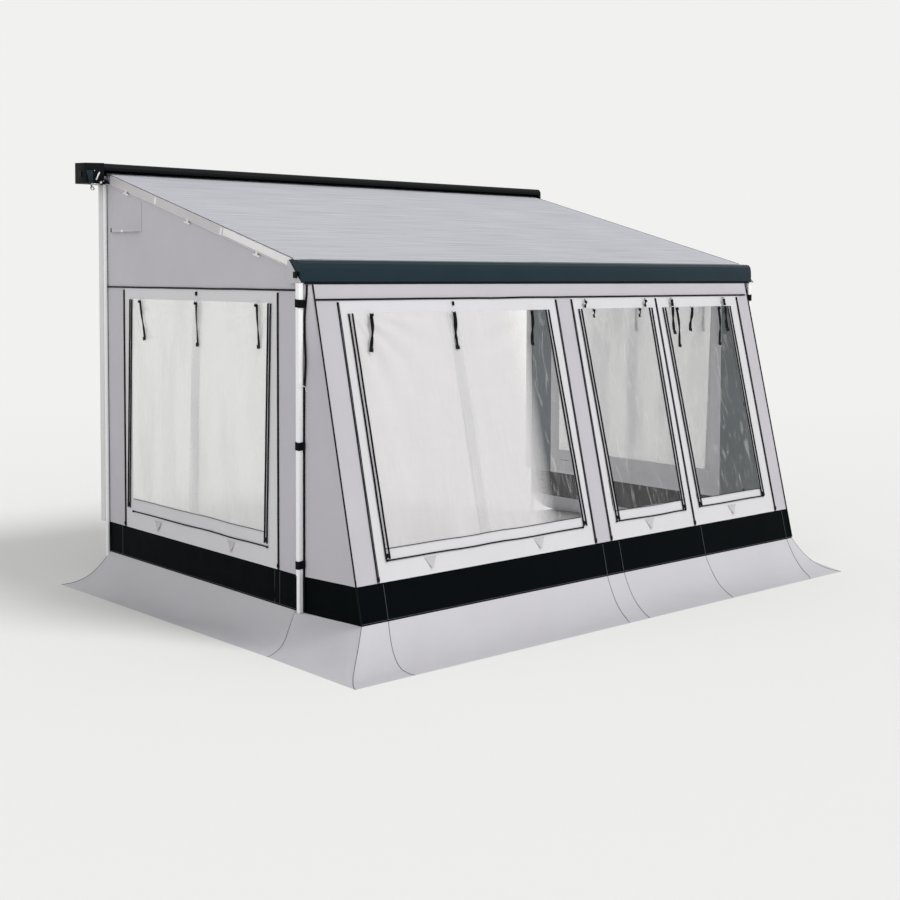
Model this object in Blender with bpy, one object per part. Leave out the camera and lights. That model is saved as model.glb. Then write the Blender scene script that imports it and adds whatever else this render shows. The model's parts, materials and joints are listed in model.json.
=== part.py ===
"""Recreational vehicle tent: a wind-out awning with a tent room that has a sloping front.

The cassette hangs on the vehicle's wall and holds the fabric roller. Two folding arms and
two rafters carry the lead rail, two legs stand under its ends, and the room's walls hang
from the rail and the rafters. Metres, Z up, the ground at Z = 0 and the vehicle towards +Y.
The word setback is the distance in front of the vehicle's wall, towards -Y.
"""

import math

import bmesh
import bpy
from mathutils import Matrix, Vector

# Clearances and cloth
gap = 0.0003
cloth = 0.003
running_gap = 0.0006

# Room in plan
room_width = 4.47
room_projection = 2.53
pole_setback = 0.08
front_lean = 0.499
front_narrowing = 0.065
front_flare = 0.46
rear_side_flare = 0.40
corner_side_flare = 0.33
right_corner_setin = 0.005

# Heights over the ground
rail_bottom = 2.245
cassette_bottom = 2.965
skirt_height = 0.197
skirt_curve = 2.7
band_height = 0.228

# Cassette and its winding parts
cassette_height = 0.155
cassette_depth = 0.155
cassette_bend = 0.045
cassette_wall = 0.004
cap_wall = 0.004
mouth_height = 0.10
floor_setin = 0.02
gear_cap_length = 0.16
idler_cap_length = 0.025
shell_left_overhang = 0.055
shell_right_overhang = 0.005
roller_setback = 0.07
roller_radius = 0.029
roller_wall = 0.002
wound_thickness = 0.007
roller_end_gap = 0.012
spindle_radius = 0.009
spindle_length = 0.05
plug_length = 0.04
plug_setin = 0.002
bearing_radius = 0.026
eye_ring_radius = 0.013
eye_wire_radius = 0.004
eye_shaft_radius = 0.006
eye_shaft_length = 0.030
eye_setback = 0.095
eye_tilt = math.radians(35)
eye_bore_depth = 0.036
eye_boss_gap = 0.018
gear_margin = 0.02
gear_size = 0.080
gear_drop = 0.030
gear_boss_wall = 0.0045

# Roof cloth
roof_setin = 0.005
roof_seat = 0.03

# Lead rail
rail_depth = 0.122
rail_height = 0.1445
rail_wall = 0.003
rail_overhang = 0.025
rail_cap_length = 0.020
rail_behind_leg = 0.10

# Folding arms, in the plane under the roof
arm_setin = 0.285
arm_splay = math.radians(8.0)
arm_width = 0.045
arm_height = 0.030
arm_eye_radius = 0.026
arm_pin_radius = 0.008
arm_post_radius = 0.014
pin_head = 0.002
shoulder_standoff = 0.030
shoulder_clearance = 0.003
shoulder_setin = 0.020
wrist_standoff = 0.040
wrist_post_length = 0.020
arm_roof_gap = 0.007
bracket_width = 0.070
bracket_plate = 0.006

# Rafters: an outer tube from the cassette, and an inner tube clamped in it to the rail's distance
rafter_width = 0.030
rafter_height = 0.055
rafter_wall = 0.002
rafter_outer_share = 0.67
rafter_overlap = 0.28

# Legs, rear poles and seals
leg_size = 0.036
leg_corner = 0.006
leg_wall = 0.0024
leg_overlap = 0.62
leg_strap_height = 0.005
leg_slit = 0.002
foot_radius = 0.040
foot_thickness = 0.008
pole_radius = 0.014
pole_foot_radius = 0.028
pole_foot_thickness = 0.012
lever_length = 0.052
lever_width = 0.012
lever_depth = 0.009
lever_lip = 0.003
lever_pin_radius = 0.0025
ear_thickness = 0.003
ear_radius = 0.007
seal_width = 0.030

# Side walls: strips beside the zip-in panel, margins round its window, and the gable's vent
side_rear_strip = 0.263
side_front_strip = 0.257
side_valance = 0.053
side_window_margin = 0.110
side_window_head = 0.075
side_window_foot = 0.105
vent_rear_strip = 0.100
vent_width = 0.420
vent_depth = 0.350
vent_drop = 0.035
vent_side_gap = 0.001

# Sloping front: strips between the zip-in panels, and margins round their windows
front_end_strip = 0.170
front_far_strip = 0.150
front_mid_strip = 0.160
front_panel_2_width = 0.935
front_panel_3_width = 0.995
front_valance = 0.112
front_window_1_margins = (0.075, 0.095)
front_window_2_margins = (0.070, 0.080)
front_window_3_margins = (0.065, 0.115)
front_window_head = 0.078
front_window_foot = 0.110

# What follows from the driving dimensions
leg_setback = pole_setback + room_projection
rail_rear_setback = leg_setback - rail_behind_leg
front_top_setback = rail_rear_setback + rail_depth
front_foot_setback = front_top_setback + front_lean
depth = front_foot_setback + front_flare
vehicle_y = depth / 2
wall_x = room_width / 2
front_width = room_width - 2 * front_narrowing
roof_width = room_width - 2 * roof_setin
rail_width = room_width + 2 * rail_overhang
shell_left = -wall_x - shell_left_overhang
shell_right = wall_x + shell_right_overhang
lean_rise = rail_bottom - skirt_height
lean_angle = math.atan2(front_lean, lean_rise)
band_top = skirt_height + band_height
leg_x = wall_x + gap + leg_size / 2
pole_x = wall_x + gap + pole_radius
leg_outer_bottom = band_top + leg_strap_height
leg_inner_top = leg_outer_bottom + leg_overlap
rail_top = rail_bottom + rail_height
roof_front_setback = rail_rear_setback + roof_seat
roof_front_height = rail_top + gap + cloth
roof_run = roof_front_setback - roller_setback
first_slope = (cassette_bottom + cassette_height / 2 - roof_front_height) / roof_run
shoulder_setback = cassette_depth + shoulder_standoff
bracket_front = shoulder_setback + 1.4 * arm_post_radius
arm_stack = (cloth + arm_roof_gap + arm_height) * math.hypot(1.0, first_slope)
floor_stack = cassette_wall + gap + bracket_plate + shoulder_clearance
roof_over_floor = floor_stack + arm_stack + first_slope * (bracket_front - roller_setback)
roof_rear_height = cassette_bottom + roof_over_floor
roof_pitch = math.atan2(roof_rear_height - roof_front_height, roof_run)
side_panel_rear = pole_setback + side_rear_strip
side_panel_front = leg_setback - side_front_strip
side_panel_top = rail_bottom - side_valance
side_window_rear = side_panel_rear + side_window_margin
side_window_front = side_panel_front - side_window_margin
side_window_top = side_panel_top - side_window_head
side_window_bottom = band_top + side_window_foot
vent_rear = pole_setback + vent_rear_strip
vent_front = vent_rear + vent_width
vent_bottom = cassette_bottom - vent_depth
front_panel_top = rail_bottom - front_valance
front_window_top = front_panel_top - front_window_head
front_window_bottom = band_top + front_window_foot


def place(x, setback, z):
    """A point in the world from its distance in front of the vehicle's wall."""
    return Vector((x, vehicle_y - setback, z))


def roof_line(setback):
    """Height of the roof's upper face."""
    return roof_rear_height - math.tan(roof_pitch) * (setback - roller_setback)


def under_roof(setback, drop):
    """Height of a line that lies the given distance square under the roof's upper face."""
    return roof_line(setback) - drop / math.cos(roof_pitch)


def front_setback(z, inward=0.0):
    """Setback of the sloping front's outer face at a height, or of a layer inside it."""
    fall = (rail_bottom - z) * math.tan(lean_angle)
    return front_top_setback + fall - inward / math.cos(lean_angle)


def up_front(z):
    """Distance up the sloping front, from its foot, of a height."""
    return (z - skirt_height) / math.cos(lean_angle)


def finish(name, colour, roughness, metallic=0.0, alpha=1.0):
    """A material with one plain finish."""
    material = bpy.data.materials.new(name)
    material.use_nodes = True
    shader = material.node_tree.nodes["Principled BSDF"]
    shader.inputs["Base Color"].default_value = (*colour, 1.0)
    shader.inputs["Roughness"].default_value = roughness
    shader.inputs["Metallic"].default_value = metallic
    shader.inputs["Alpha"].default_value = alpha
    material.diffuse_color = (*colour, alpha)
    return material


def clear_scene():
    """Takes everything out of the scene."""
    for old in list(bpy.data.objects):
        bpy.data.objects.remove(old, do_unlink=True)


def link(name, mesh_data, material, parent=None, location=(0.0, 0.0, 0.0), smooth=False):
    """Closes a mesh being built and puts it in the scene as an object."""
    bmesh.ops.recalc_face_normals(mesh_data, faces=mesh_data.faces)
    mesh = bpy.data.meshes.new(name)
    mesh_data.to_mesh(mesh)
    mesh_data.free()
    if smooth:
        mesh.shade_smooth()
        mesh.set_sharp_from_angle(angle=math.radians(35))
    body = bpy.data.objects.new(name, mesh)
    bpy.context.scene.collection.objects.link(body)
    body.location = location
    body.parent = parent
    if material is not None:
        mesh.materials.append(material)
    return body


def add_frame(name, origin, right, outward):
    """An empty whose X runs along a wall, whose Y runs up it and whose Z points out of it."""
    up = Vector(outward).cross(Vector(right))
    turn = Matrix((Vector(right), up, Vector(outward))).transposed().to_4x4()
    empty = bpy.data.objects.new(name, None)
    bpy.context.scene.collection.objects.link(empty)
    empty.matrix_world = Matrix.Translation(origin) @ turn
    return empty


def fill_outline(loops, thickness):
    """A plate from an outline and its holes, its face at Z = 0 and its body below."""
    plate = bmesh.new()
    edges = []
    for loop in loops:
        corners = [plate.verts.new((u, v, 0.0)) for u, v in loop]
        for index, corner in enumerate(corners):
            edges.append(plate.edges.new((corner, corners[(index + 1) % len(corners)])))
    filled = bmesh.ops.triangle_fill(plate, use_beauty=True, edges=edges, normal=(0, 0, 1))
    faces = [item for item in filled["geom"] if isinstance(item, bmesh.types.BMFace)]
    grown = bmesh.ops.extrude_face_region(plate, geom=faces)
    moved = [item for item in grown["geom"] if isinstance(item, bmesh.types.BMVert)]
    bmesh.ops.translate(plate, verts=moved, vec=(0.0, 0.0, -thickness))
    return plate


def add_plate(name, loops, thickness, material, parent=None, location=(0.0, 0.0, 0.0), smooth=False):
    """A flat piece, or an extruded section, in the frame of its parent."""
    return link(name, fill_outline(loops, thickness), material, parent, location, smooth)


def add_shell(name, outer, inner, material, smooth=False):
    """A bent sheet between two grids of points, rows first."""
    sheet = bmesh.new()
    rows = len(outer)
    columns = len(outer[0])
    front = [[sheet.verts.new(point) for point in row] for row in outer]
    back = [[sheet.verts.new(point) for point in row] for row in inner]
    for row in range(rows - 1):
        for column in range(columns - 1):
            for side in (front, back):
                near = side[row]
                far = side[row + 1]
                sheet.faces.new((near[column], near[column + 1], far[column + 1], far[column]))
    ends = [(row, column, row + 1, column) for row in range(rows - 1) for column in (0, columns - 1)]
    ends += [(row, column, row, column + 1) for row in (0, rows - 1) for column in range(columns - 1)]
    for row, column, next_row, next_column in ends:
        near = (front[row][column], front[next_row][next_column])
        far = (back[next_row][next_column], back[row][column])
        sheet.faces.new(near + far)
    return link(name, sheet, material, smooth=smooth)


def add_box(name, low, high, material, parent=None):
    """A block between two corners."""
    block = bmesh.new()
    bmesh.ops.create_cube(block, size=1.0)
    middle = [(a + b) / 2 for a, b in zip(low, high)]
    for vert in block.verts:
        vert.co = [m + c * abs(b - a) for m, c, a, b in zip(middle, vert.co, low, high)]
    return link(name, block, material, parent)


def add_rod(name, start, end, radius, material, parent=None, sides=24):
    """A round bar between two points."""
    bar = bmesh.new()
    run = Vector(end) - Vector(start)
    turn = run.to_track_quat("Z", "Y").to_matrix().to_4x4()
    middle = (Vector(start) + Vector(end)) / 2
    bmesh.ops.create_cone(
        bar,
        cap_ends=True,
        segments=sides,
        radius1=radius,
        radius2=radius,
        depth=run.length,
        matrix=Matrix.Translation(middle) @ turn,
    )
    return link(name, bar, material, parent, smooth=True)


def add_turned(name, profile, start, direction, material, closed=False, sides=32):
    """A piece turned about an axis, from places along it and the radius at each."""
    body = bmesh.new()
    turn = Vector(direction).to_track_quat("Z", "Y").to_matrix()
    rings = []
    for run, radius in profile:
        if radius > 0.0:
            ring = [Vector((x, y, run)) for x, y in circle(radius, sides)]
        else:
            ring = [Vector((0.0, 0.0, run))]
        rings.append([body.verts.new(Vector(start) + turn @ point) for point in ring])
    pairs = list(zip(rings, rings[1:]))
    if closed:
        pairs.append((rings[-1], rings[0]))
    for near, far in pairs:
        for side in range(sides):
            after = (side + 1) % sides
            corners = [near[side % len(near)], near[after % len(near)]]
            corners += [far[after % len(far)], far[side % len(far)]]
            body.faces.new(list(dict.fromkeys(corners)))
    return link(name, body, material, smooth=True)


def combine(body, tools, operation):
    """Joins other solids to a body, or cuts them from it."""
    for tool in tools:
        step = body.modifiers.new(tool.name, "BOOLEAN")
        step.operation = operation
        step.solver = "EXACT"
        step.object = tool
        tool.hide_render = True
        tool.display_type = "WIRE"
    return body


def circle(radius, sides=24, centre=(0.0, 0.0)):
    """Points of a circle."""
    turns = [2 * math.pi * step / sides for step in range(sides)]
    return [(centre[0] + radius * math.cos(a), centre[1] + radius * math.sin(a)) for a in turns]


def rectangle(left, bottom, right, top):
    """Corners of a rectangle."""
    return [(left, bottom), (right, bottom), (right, top), (left, top)]


def rounded_square(size, corner, steps=3):
    """Outline of a square tube with round corners."""
    points = []
    reach = size / 2 - corner
    for quarter in range(4):
        middle = (reach * (1, -1, -1, 1)[quarter], reach * (1, 1, -1, -1)[quarter])
        for step in range(steps + 1):
            angle = math.pi / 2 * (quarter + step / steps)
            points.append((middle[0] + corner * math.cos(angle), middle[1] + corner * math.sin(angle)))
    return points


def capsule(length, radius, sides=16):
    """Outline of a bar with round ends whose centres are the given length apart."""
    points = []
    for step in range(sides + 1):
        angle = math.pi / 2 + math.pi * step / sides
        points.append((radius * math.cos(angle), radius * math.sin(angle)))
    for step in range(sides + 1):
        angle = -math.pi / 2 + math.pi * step / sides
        points.append((length + radius * math.cos(angle), radius * math.sin(angle)))
    return points


def make_finishes():
    """The finishes by name."""
    return {
        "anthracite": finish("anthracite aluminium", (0.024, 0.045, 0.061), 0.38, 0.6),
        "moulding": finish("black polyamide", (0.012, 0.015, 0.018), 0.55),
        "steel": finish("zinc steel", (0.55, 0.56, 0.58), 0.35, 0.9),
        "white": finish("white aluminium", (0.80, 0.80, 0.81), 0.35, 0.2),
        "roof": finish("coated roof cloth", (0.58, 0.59, 0.62), 0.75),
        "grey": finish("grey tent cloth", (0.42, 0.42, 0.45), 0.8),
        "pale": finish("pale tent cloth", (0.72, 0.72, 0.71), 0.8),
        "black": finish("black coated cloth", (0.008, 0.011, 0.014), 0.6),
        "skirt": finish("grey skirt cloth", (0.48, 0.48, 0.49), 0.7),
        "vinyl": finish("clear vinyl", (0.85, 0.87, 0.88), 0.12, 0.0, 0.35),
        "foam": finish("white seal foam", (0.75, 0.75, 0.75), 0.9),
    }


# Awning


def cassette_outline(inset):
    """The casing's section, setback by height, as far inside its outer face as asked."""
    top = cassette_bottom + cassette_height - inset
    points = []
    for step in range(7):
        angle = math.pi / 2 * step / 6
        across = cassette_depth - cassette_bend + (cassette_bend - inset) * math.cos(angle)
        rise = cassette_height - cassette_bend + (cassette_bend - inset) * math.sin(angle)
        points.append((across, cassette_bottom + rise))
    points.append((inset, top))
    points.append((inset, cassette_bottom + inset))
    return points


def shell_section():
    """The casing as an open channel: its mouth faces the front, over the floor."""
    lip = cassette_bottom + mouth_height
    outer = cassette_outline(0.0)
    inner = cassette_outline(cassette_wall)
    floor_end = cassette_depth - floor_setin
    section = [(cassette_depth, lip)] + outer + [(floor_end, cassette_bottom)]
    section += [(floor_end, cassette_bottom + cassette_wall)]
    section += inner[::-1] + [(cassette_depth - cassette_wall, lip)]
    return section


def section_frame(name, x):
    """A frame across the room's width: X along the setback, Y up, and solids grow to the right."""
    return add_frame(name, place(x, 0.0, 0.0), (0, -1, 0), (-1, 0, 0))


def roller_axis(x):
    """A point on the roller's axis, which the roof cloth leaves at the roof's slope."""
    drop = (roller_radius + wound_thickness + gap + cloth) / math.cos(roof_pitch)
    return place(x, roller_setback, roof_rear_height - drop)


def add_cassette(finishes):
    """Casing, its two end caps, the roller with its wound fabric, and the winding gear."""
    left = section_frame("shell_frame", shell_left)
    add_plate("cassette_shell", [shell_section()], shell_right - shell_left, finishes["anthracite"], left)
    add_gear_cap(finishes)
    add_idler_cap(finishes)
    low = shell_left + roller_end_gap
    high = shell_right - roller_end_gap
    axis = (roller_setback, roller_axis(0.0).z)
    length = high - low
    tube_bore = roller_radius - roller_wall
    plug_bore = spindle_radius + running_gap
    plug_end = plug_setin + plug_length
    inside = [(0.0, tube_bore), (plug_setin, tube_bore), (plug_setin, plug_bore), (plug_end, plug_bore)]
    inside.append((plug_end, tube_bore))
    far_side = [(length - run, radius) for run, radius in inside[::-1]]
    profile = [(length, roller_radius), (0.0, roller_radius)] + inside + far_side
    add_turned("roller_tube", profile, roller_axis(low), (1, 0, 0), finishes["steel"], closed=True)
    wound_margin = shell_left_overhang - roller_end_gap
    wound_frame = section_frame("wound_frame", low + wound_margin)
    wound = [circle(roller_radius + wound_thickness, 32, axis), circle(roller_radius + gap, 32, axis)]
    add_plate("wound_fabric", wound, roof_width, finishes["roof"], wound_frame, smooth=True)


def cap_solid(name, start, length, closed_end, finishes):
    """An end cap: a closed cup with its open side against the casing."""
    outer_frame = section_frame(name + "_frame", start)
    outline = cassette_outline(0.0) + [(cassette_depth, cassette_bottom)]
    cap = add_plate(name, [outline], length, finishes["moulding"], outer_frame)
    inside = cassette_outline(cap_wall) + [(cassette_depth - cap_wall, cassette_bottom + cap_wall)]
    start_inside = start + cap_wall if closed_end == "low" else start - cap_wall
    hollow_frame = section_frame(name + "_hollow_frame", start_inside)
    hollow = add_plate(name + "_hollow", [inside], length, None, hollow_frame)
    combine(cap, [hollow], "DIFFERENCE")
    return cap


def add_gear_cap(finishes):
    """The left end: a long cap over the winding gear, and the loop for the crank."""
    start = shell_left - gap - gear_cap_length
    cap = cap_solid("cassette_cap_left", start, gear_cap_length, "low", finishes)
    low = start + cap_wall + gap
    high = shell_left - gap
    near = low + gear_margin
    far = high - gear_margin
    axis = roller_axis(0.0)
    half = gear_size / 2
    gear_low = (near, axis.y - half, axis.z - gear_drop)
    gear_high = (far, axis.y + half, axis.z - gear_drop + gear_size)
    case = add_box("winding_gear", gear_low, gear_high, finishes["moulding"])
    drive_end = roller_axis(shell_left + roller_end_gap + spindle_length)
    spindle = add_rod("winding_spindle", roller_axis(far - gear_margin), drive_end, spindle_radius, None)
    seat_low = (low, axis.y - half / 2, axis.z)
    seat_high = (near + gear_margin, axis.y + half / 2, axis.z + half)
    seat = add_box("gear_seat", seat_low, seat_high, None)
    bore_radius = eye_shaft_radius + running_gap
    bore_end = eye_point(eye_bore_depth)
    boss_end = eye_point(eye_bore_depth + gear_boss_wall)
    boss = add_rod("gear_boss", boss_end, eye_point(eye_boss_gap), bore_radius + gear_boss_wall, None)
    combine(case, [spindle, seat, boss], "UNION")
    bore = add_rod("gear_bore", bore_end, eye_point(0.0), bore_radius, None)
    combine(case, [bore], "DIFFERENCE")
    hole_radius = eye_shaft_radius + 2 * running_gap
    hole = add_rod("eye_hole", eye_point(eye_boss_gap / 2), eye_point(-eye_shaft_length), hole_radius, None)
    combine(cap, [hole], "DIFFERENCE")
    ring = add_ring("winding_eye", finishes["steel"])
    shaft_end = eye_point(-eye_shaft_length)
    shaft = add_rod("eye_shaft", eye_point(eye_bore_depth - running_gap), shaft_end, eye_shaft_radius, None)
    combine(ring, [shaft], "UNION")


def eye_direction():
    """The way the crank's loop hangs out of the left cap."""
    return Vector((0.0, -math.sin(eye_tilt), -math.cos(eye_tilt)))


def eye_point(inside):
    """A point on the loop's shaft, as far inside the cap's lower face as asked."""
    mouth = place(shell_left - gap - gear_cap_length / 2, eye_setback, cassette_bottom)
    return mouth - eye_direction() * inside


def add_ring(name, material):
    """The loop that the crank hooks into."""
    ring = bmesh.new()
    centre = eye_point(-eye_shaft_length - eye_ring_radius)
    away = eye_direction()
    across = Vector((1.0, 0.0, 0.0))
    turns = 24
    sides = 8
    loops = []
    for turn in range(turns):
        angle = 2 * math.pi * turn / turns
        radial = away * math.cos(angle) + across * math.sin(angle)
        normal = away.cross(across)
        loop = []
        for side in range(sides):
            around = 2 * math.pi * side / sides
            offset = (radial * math.cos(around) + normal * math.sin(around)) * eye_wire_radius
            loop.append(ring.verts.new(centre + radial * eye_ring_radius + offset))
        loops.append(loop)
    for turn in range(turns):
        near = loops[turn]
        far = loops[(turn + 1) % turns]
        for side in range(sides):
            after = (side + 1) % sides
            ring.faces.new((near[side], near[after], far[after], far[side]))
    return link(name, ring, material, smooth=True)


def add_idler_cap(finishes):
    """The right end: a short cap with the roller's idle spindle."""
    start = shell_right + gap
    cap_solid("cassette_cap_right", start, idler_cap_length, "high", finishes)
    reach = shell_right - roller_end_gap - spindle_length
    face = start + gap - reach
    hub = face + idler_cap_length / 2
    seat = start + idler_cap_length - cap_wall - gap - reach
    profile = [(0.0, 0.0), (0.0, spindle_radius), (face, spindle_radius), (face, bearing_radius)]
    profile += [(hub, bearing_radius), (hub, bearing_radius / 2), (seat, bearing_radius / 2), (seat, 0.0)]
    add_turned("roller_bearing", profile, roller_axis(reach), (1, 0, 0), finishes["steel"])


def add_roof(finishes):
    """The roof cloth, from the roller to its seat on the lead rail."""
    start = roller_setback + (roller_radius + wound_thickness) * math.sin(roof_pitch)
    end = roof_front_setback
    columns = 12
    rows = 6
    outer = []
    inner = []
    for row in range(rows + 1):
        setback = start + (end - start) * row / rows
        top = roof_line(setback)
        low = top - cloth
        across = [roof_width * (column / columns - 0.5) for column in range(columns + 1)]
        outer.append([place(x, setback, top) for x in across])
        inner.append([place(x, setback, low) for x in across])
    add_shell("roof_cloth", outer, inner, finishes["roof"])


def rail_section(inset):
    """The lead rail's section, from its rear face forward, as far inside as asked."""
    shape = [(0.0, 0.0), (0.94, 0.0), (0.985, 0.06), (1.0, 0.34), (0.985, 0.62)]
    shape += [(0.93, 0.84), (0.80, 0.96), (0.62, 1.0), (0.0, 1.0)]
    across = rail_depth - 2 * inset
    rise = rail_height - 2 * inset
    return [(rail_rear_setback + inset + a * across, rail_bottom + inset + b * rise) for a, b in shape]


def add_lead_rail(finishes):
    """The lead rail and the caps at its ends."""
    half = rail_width / 2
    length = rail_width - 2 * rail_cap_length - 2 * gap
    frame = section_frame("rail_frame", -half + rail_cap_length + gap)
    section = [rail_section(0.0), rail_section(rail_wall)]
    add_plate("lead_rail", section, length, finishes["anthracite"], frame, smooth=True)
    for side, start in (("left", -half), ("right", half - rail_cap_length)):
        frame = section_frame("rail_cap_frame_" + side, start)
        outline = [rail_section(0.0)]
        add_plate("rail_cap_" + side, outline, rail_cap_length, finishes["moulding"], frame, smooth=True)


def arm_pivot(setback):
    """A point at the middle of the room in the plane between the two links of an arm."""
    return place(0.0, setback, under_roof(setback, cloth + arm_roof_gap + arm_height))


def add_arms(finishes):
    """Two folding arms, each with its shoulder, its two links, its elbow pin and its wrist."""
    shoulder = arm_pivot(shoulder_setback)
    wrist = arm_pivot(rail_rear_setback - wrist_standoff)
    spread = wall_x - arm_setin
    reach = (wrist - shoulder).length
    link_length = reach / (2 * math.cos(arm_splay))
    down = (wrist - shoulder).normalized()
    normal = Vector((0.0, -math.sin(roof_pitch), math.cos(roof_pitch)))
    for side, sign in (("left", -1), ("right", 1)):
        inward = Vector((-sign, 0.0, 0.0))
        start = shoulder + Vector((sign * spread, 0.0, 0.0))
        end = wrist + Vector((sign * spread, 0.0, 0.0))
        elbow = start + (down * math.cos(arm_splay) + inward * math.sin(arm_splay)) * link_length
        add_link("upper_arm_" + side, start, elbow, normal, arm_height, finishes["white"])
        add_link("forearm_" + side, elbow, end, normal, 0.0, finishes["white"])
        half_pin = normal * (arm_height + pin_head)
        add_rod("elbow_pin_" + side, elbow + half_pin, elbow - half_pin, arm_pin_radius, finishes["steel"])
        add_shoulder(side, start, normal, finishes)
        add_wrist(side, end, normal, finishes)


def add_link(name, start, end, normal, top, material):
    """One flat arm link, bored at both ends, its upper face this far over the pivots' plane."""
    along = (end - start).normalized()
    frame = add_frame(name + "_frame", start + normal * (top - gap / 2), along, normal)
    length = (end - start).length
    bore = arm_pin_radius + running_gap
    waist = arm_width / 2
    outline = capsule(length, arm_eye_radius)
    bores = [circle(bore), circle(bore, 24, (length, 0.0))]
    body = add_plate(name, [outline] + bores, arm_height - gap, material, frame, smooth=True)
    trims = []
    shoulder_run = 1.6 * arm_eye_radius
    for sign in (-1, 1):
        low = (shoulder_run, sign * waist, arm_height)
        high = (length - shoulder_run, sign * 2 * arm_eye_radius, -2 * arm_height)
        trims.append(add_box(name + "_trim" + str(sign), low, high, None, frame))
    combine(body, trims, "DIFFERENCE")
    return body


def add_shoulder(side, pivot, normal, finishes):
    """The bracket on the casing's floor, with the pin that carries the upper arm."""
    floor = cassette_bottom + cassette_wall + gap
    low = (pivot.x - bracket_width / 2, vehicle_y - bracket_front, floor)
    rear = vehicle_y - cassette_wall - shoulder_setin
    high = (pivot.x + bracket_width / 2, rear, floor + bracket_plate)
    bracket = add_box("shoulder_bracket_" + side, low, high, finishes["moulding"])
    post_end = pivot - normal * (pivot.z - floor - bracket_plate / 2)
    post = add_rod("shoulder_post_" + side, pivot - normal * gap, post_end, arm_post_radius, None)
    pin_top = pivot + normal * (arm_height + pin_head)
    pin = add_rod("shoulder_pin_" + side, post_end, pin_top, arm_pin_radius, None)
    combine(bracket, [post, pin], "UNION")


def add_wrist(side, pivot, normal, finishes):
    """The bracket on the rail's rear face, with the pin that carries the forearm."""
    low = (pivot.x - bracket_width / 2, vehicle_y - rail_rear_setback + gap, rail_bottom + rail_height / 5)
    top = pivot.z - arm_height - 0.8 * wrist_post_length
    high = (pivot.x + bracket_width / 2, pivot.y + 1.5 * arm_post_radius, top)
    bracket = add_box("wrist_bracket_" + side, low, high, finishes["moulding"])
    under = pivot - normal * (arm_height + gap)
    post_end = under - normal * wrist_post_length
    post = add_rod("wrist_post_" + side, under, post_end, arm_post_radius, None)
    pin = add_rod("wrist_pin_" + side, post_end, pivot + normal * pin_head, arm_pin_radius, None)
    combine(bracket, [post, pin], "UNION")


def rafter_tube(name, x, start, end, inset, material):
    """A stretch of rafter between two setbacks, as far inside the outer tube's faces as asked."""
    half = rafter_width / 2 - inset
    drop = cloth + gap + inset
    rise = rafter_height - 2 * inset
    first = place(x, start, under_roof(start, drop))
    last = place(x, end, under_roof(end, drop))
    along_roof = (last - first).normalized()
    frame = add_frame(name + "_frame", last, (1, 0, 0), along_roof)
    wall = rafter_wall
    hollow = rectangle(-half + wall, -rise + wall, half - wall, -wall)
    loops = [rectangle(-half, -rise, half, 0.0), hollow]
    return add_plate(name, loops, (last - first).length, material, frame)


def add_rafters(finishes):
    """The struts under the roof's side edges, each an inner tube in an outer one."""
    run = rail_rear_setback - cassette_depth
    outer_end = cassette_depth + run * rafter_outer_share
    slip = rafter_wall + running_gap
    start = cassette_depth + gap + rafter_height * math.sin(roof_pitch)
    inner_start = outer_end - rafter_overlap
    inner_end = rail_rear_setback - gap
    for side, sign in (("left", -1), ("right", 1)):
        x = sign * wall_x
        rafter_tube("rafter_outer_" + side, x, start, outer_end, 0.0, finishes["white"])
        rafter_tube("rafter_inner_" + side, x, inner_start, inner_end, slip, finishes["white"])


# Legs, rear poles and seals


def add_legs(finishes):
    """Telescopic legs under the rail's ends, each with its inner tube, foot and lock lever."""
    for side, sign in (("left", -1), ("right", 1)):
        x = sign * leg_x
        bore = leg_size - 2 * leg_wall
        head = place(x, leg_setback, rail_bottom - gap)
        frame = add_frame("leg_frame_" + side, head, (1, 0, 0), (0, 0, 1))
        loops = [rounded_square(leg_size, leg_corner), rounded_square(bore, leg_corner - leg_wall)]
        outer = add_plate("leg_outer_" + side, loops, head.z - leg_outer_bottom, finishes["white"], frame)
        combine(outer, add_lever_ears(side, x), "UNION")
        add_lever(side, x, finishes)
        inner_head = place(x, leg_setback, leg_inner_top)
        frame = add_frame("leg_inner_frame_" + side, inner_head, (1, 0, 0), (0, 0, 1))
        tube = [rounded_square(bore - 2 * running_gap, leg_corner - leg_wall)]
        length = leg_inner_top - foot_thickness / 2
        inner = add_plate("leg_inner_" + side, tube, length, finishes["white"], frame)
        sole = place(x, leg_setback, 0.0)
        instep = place(x, leg_setback, foot_thickness)
        foot = add_rod("foot_" + side, sole, instep, foot_radius, None, sides=32)
        combine(inner, [foot], "UNION")


def lever_pivot(x):
    """Centre of the lock lever's pin, behind the leg."""
    return place(x, leg_setback - leg_size / 2 - lever_depth / 2 - gap, leg_outer_bottom + lever_length)


def add_lever_ears(side, x):
    """Two ears on the outer tube, bored for the lever's pin."""
    pivot = lever_pivot(x)
    ears = []
    for number, offset in enumerate((-1, 1)):
        edge = x + offset * (lever_width / 2 + gap)
        low = min(edge, edge + offset * ear_thickness)
        frame = section_frame("ear_frame_" + side + str(number), low)
        setback = vehicle_y - pivot.y
        near = setback - lever_depth / 2
        far = leg_setback - leg_size / 2 + leg_wall / 2
        outline = rectangle(near, pivot.z - ear_radius, far, pivot.z + ear_radius)
        bore = circle(lever_pin_radius + running_gap, 16, (setback, pivot.z))
        ears.append(add_plate("lever_ear_" + side + str(number), [outline, bore], ear_thickness, None, frame))
    return ears


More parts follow.
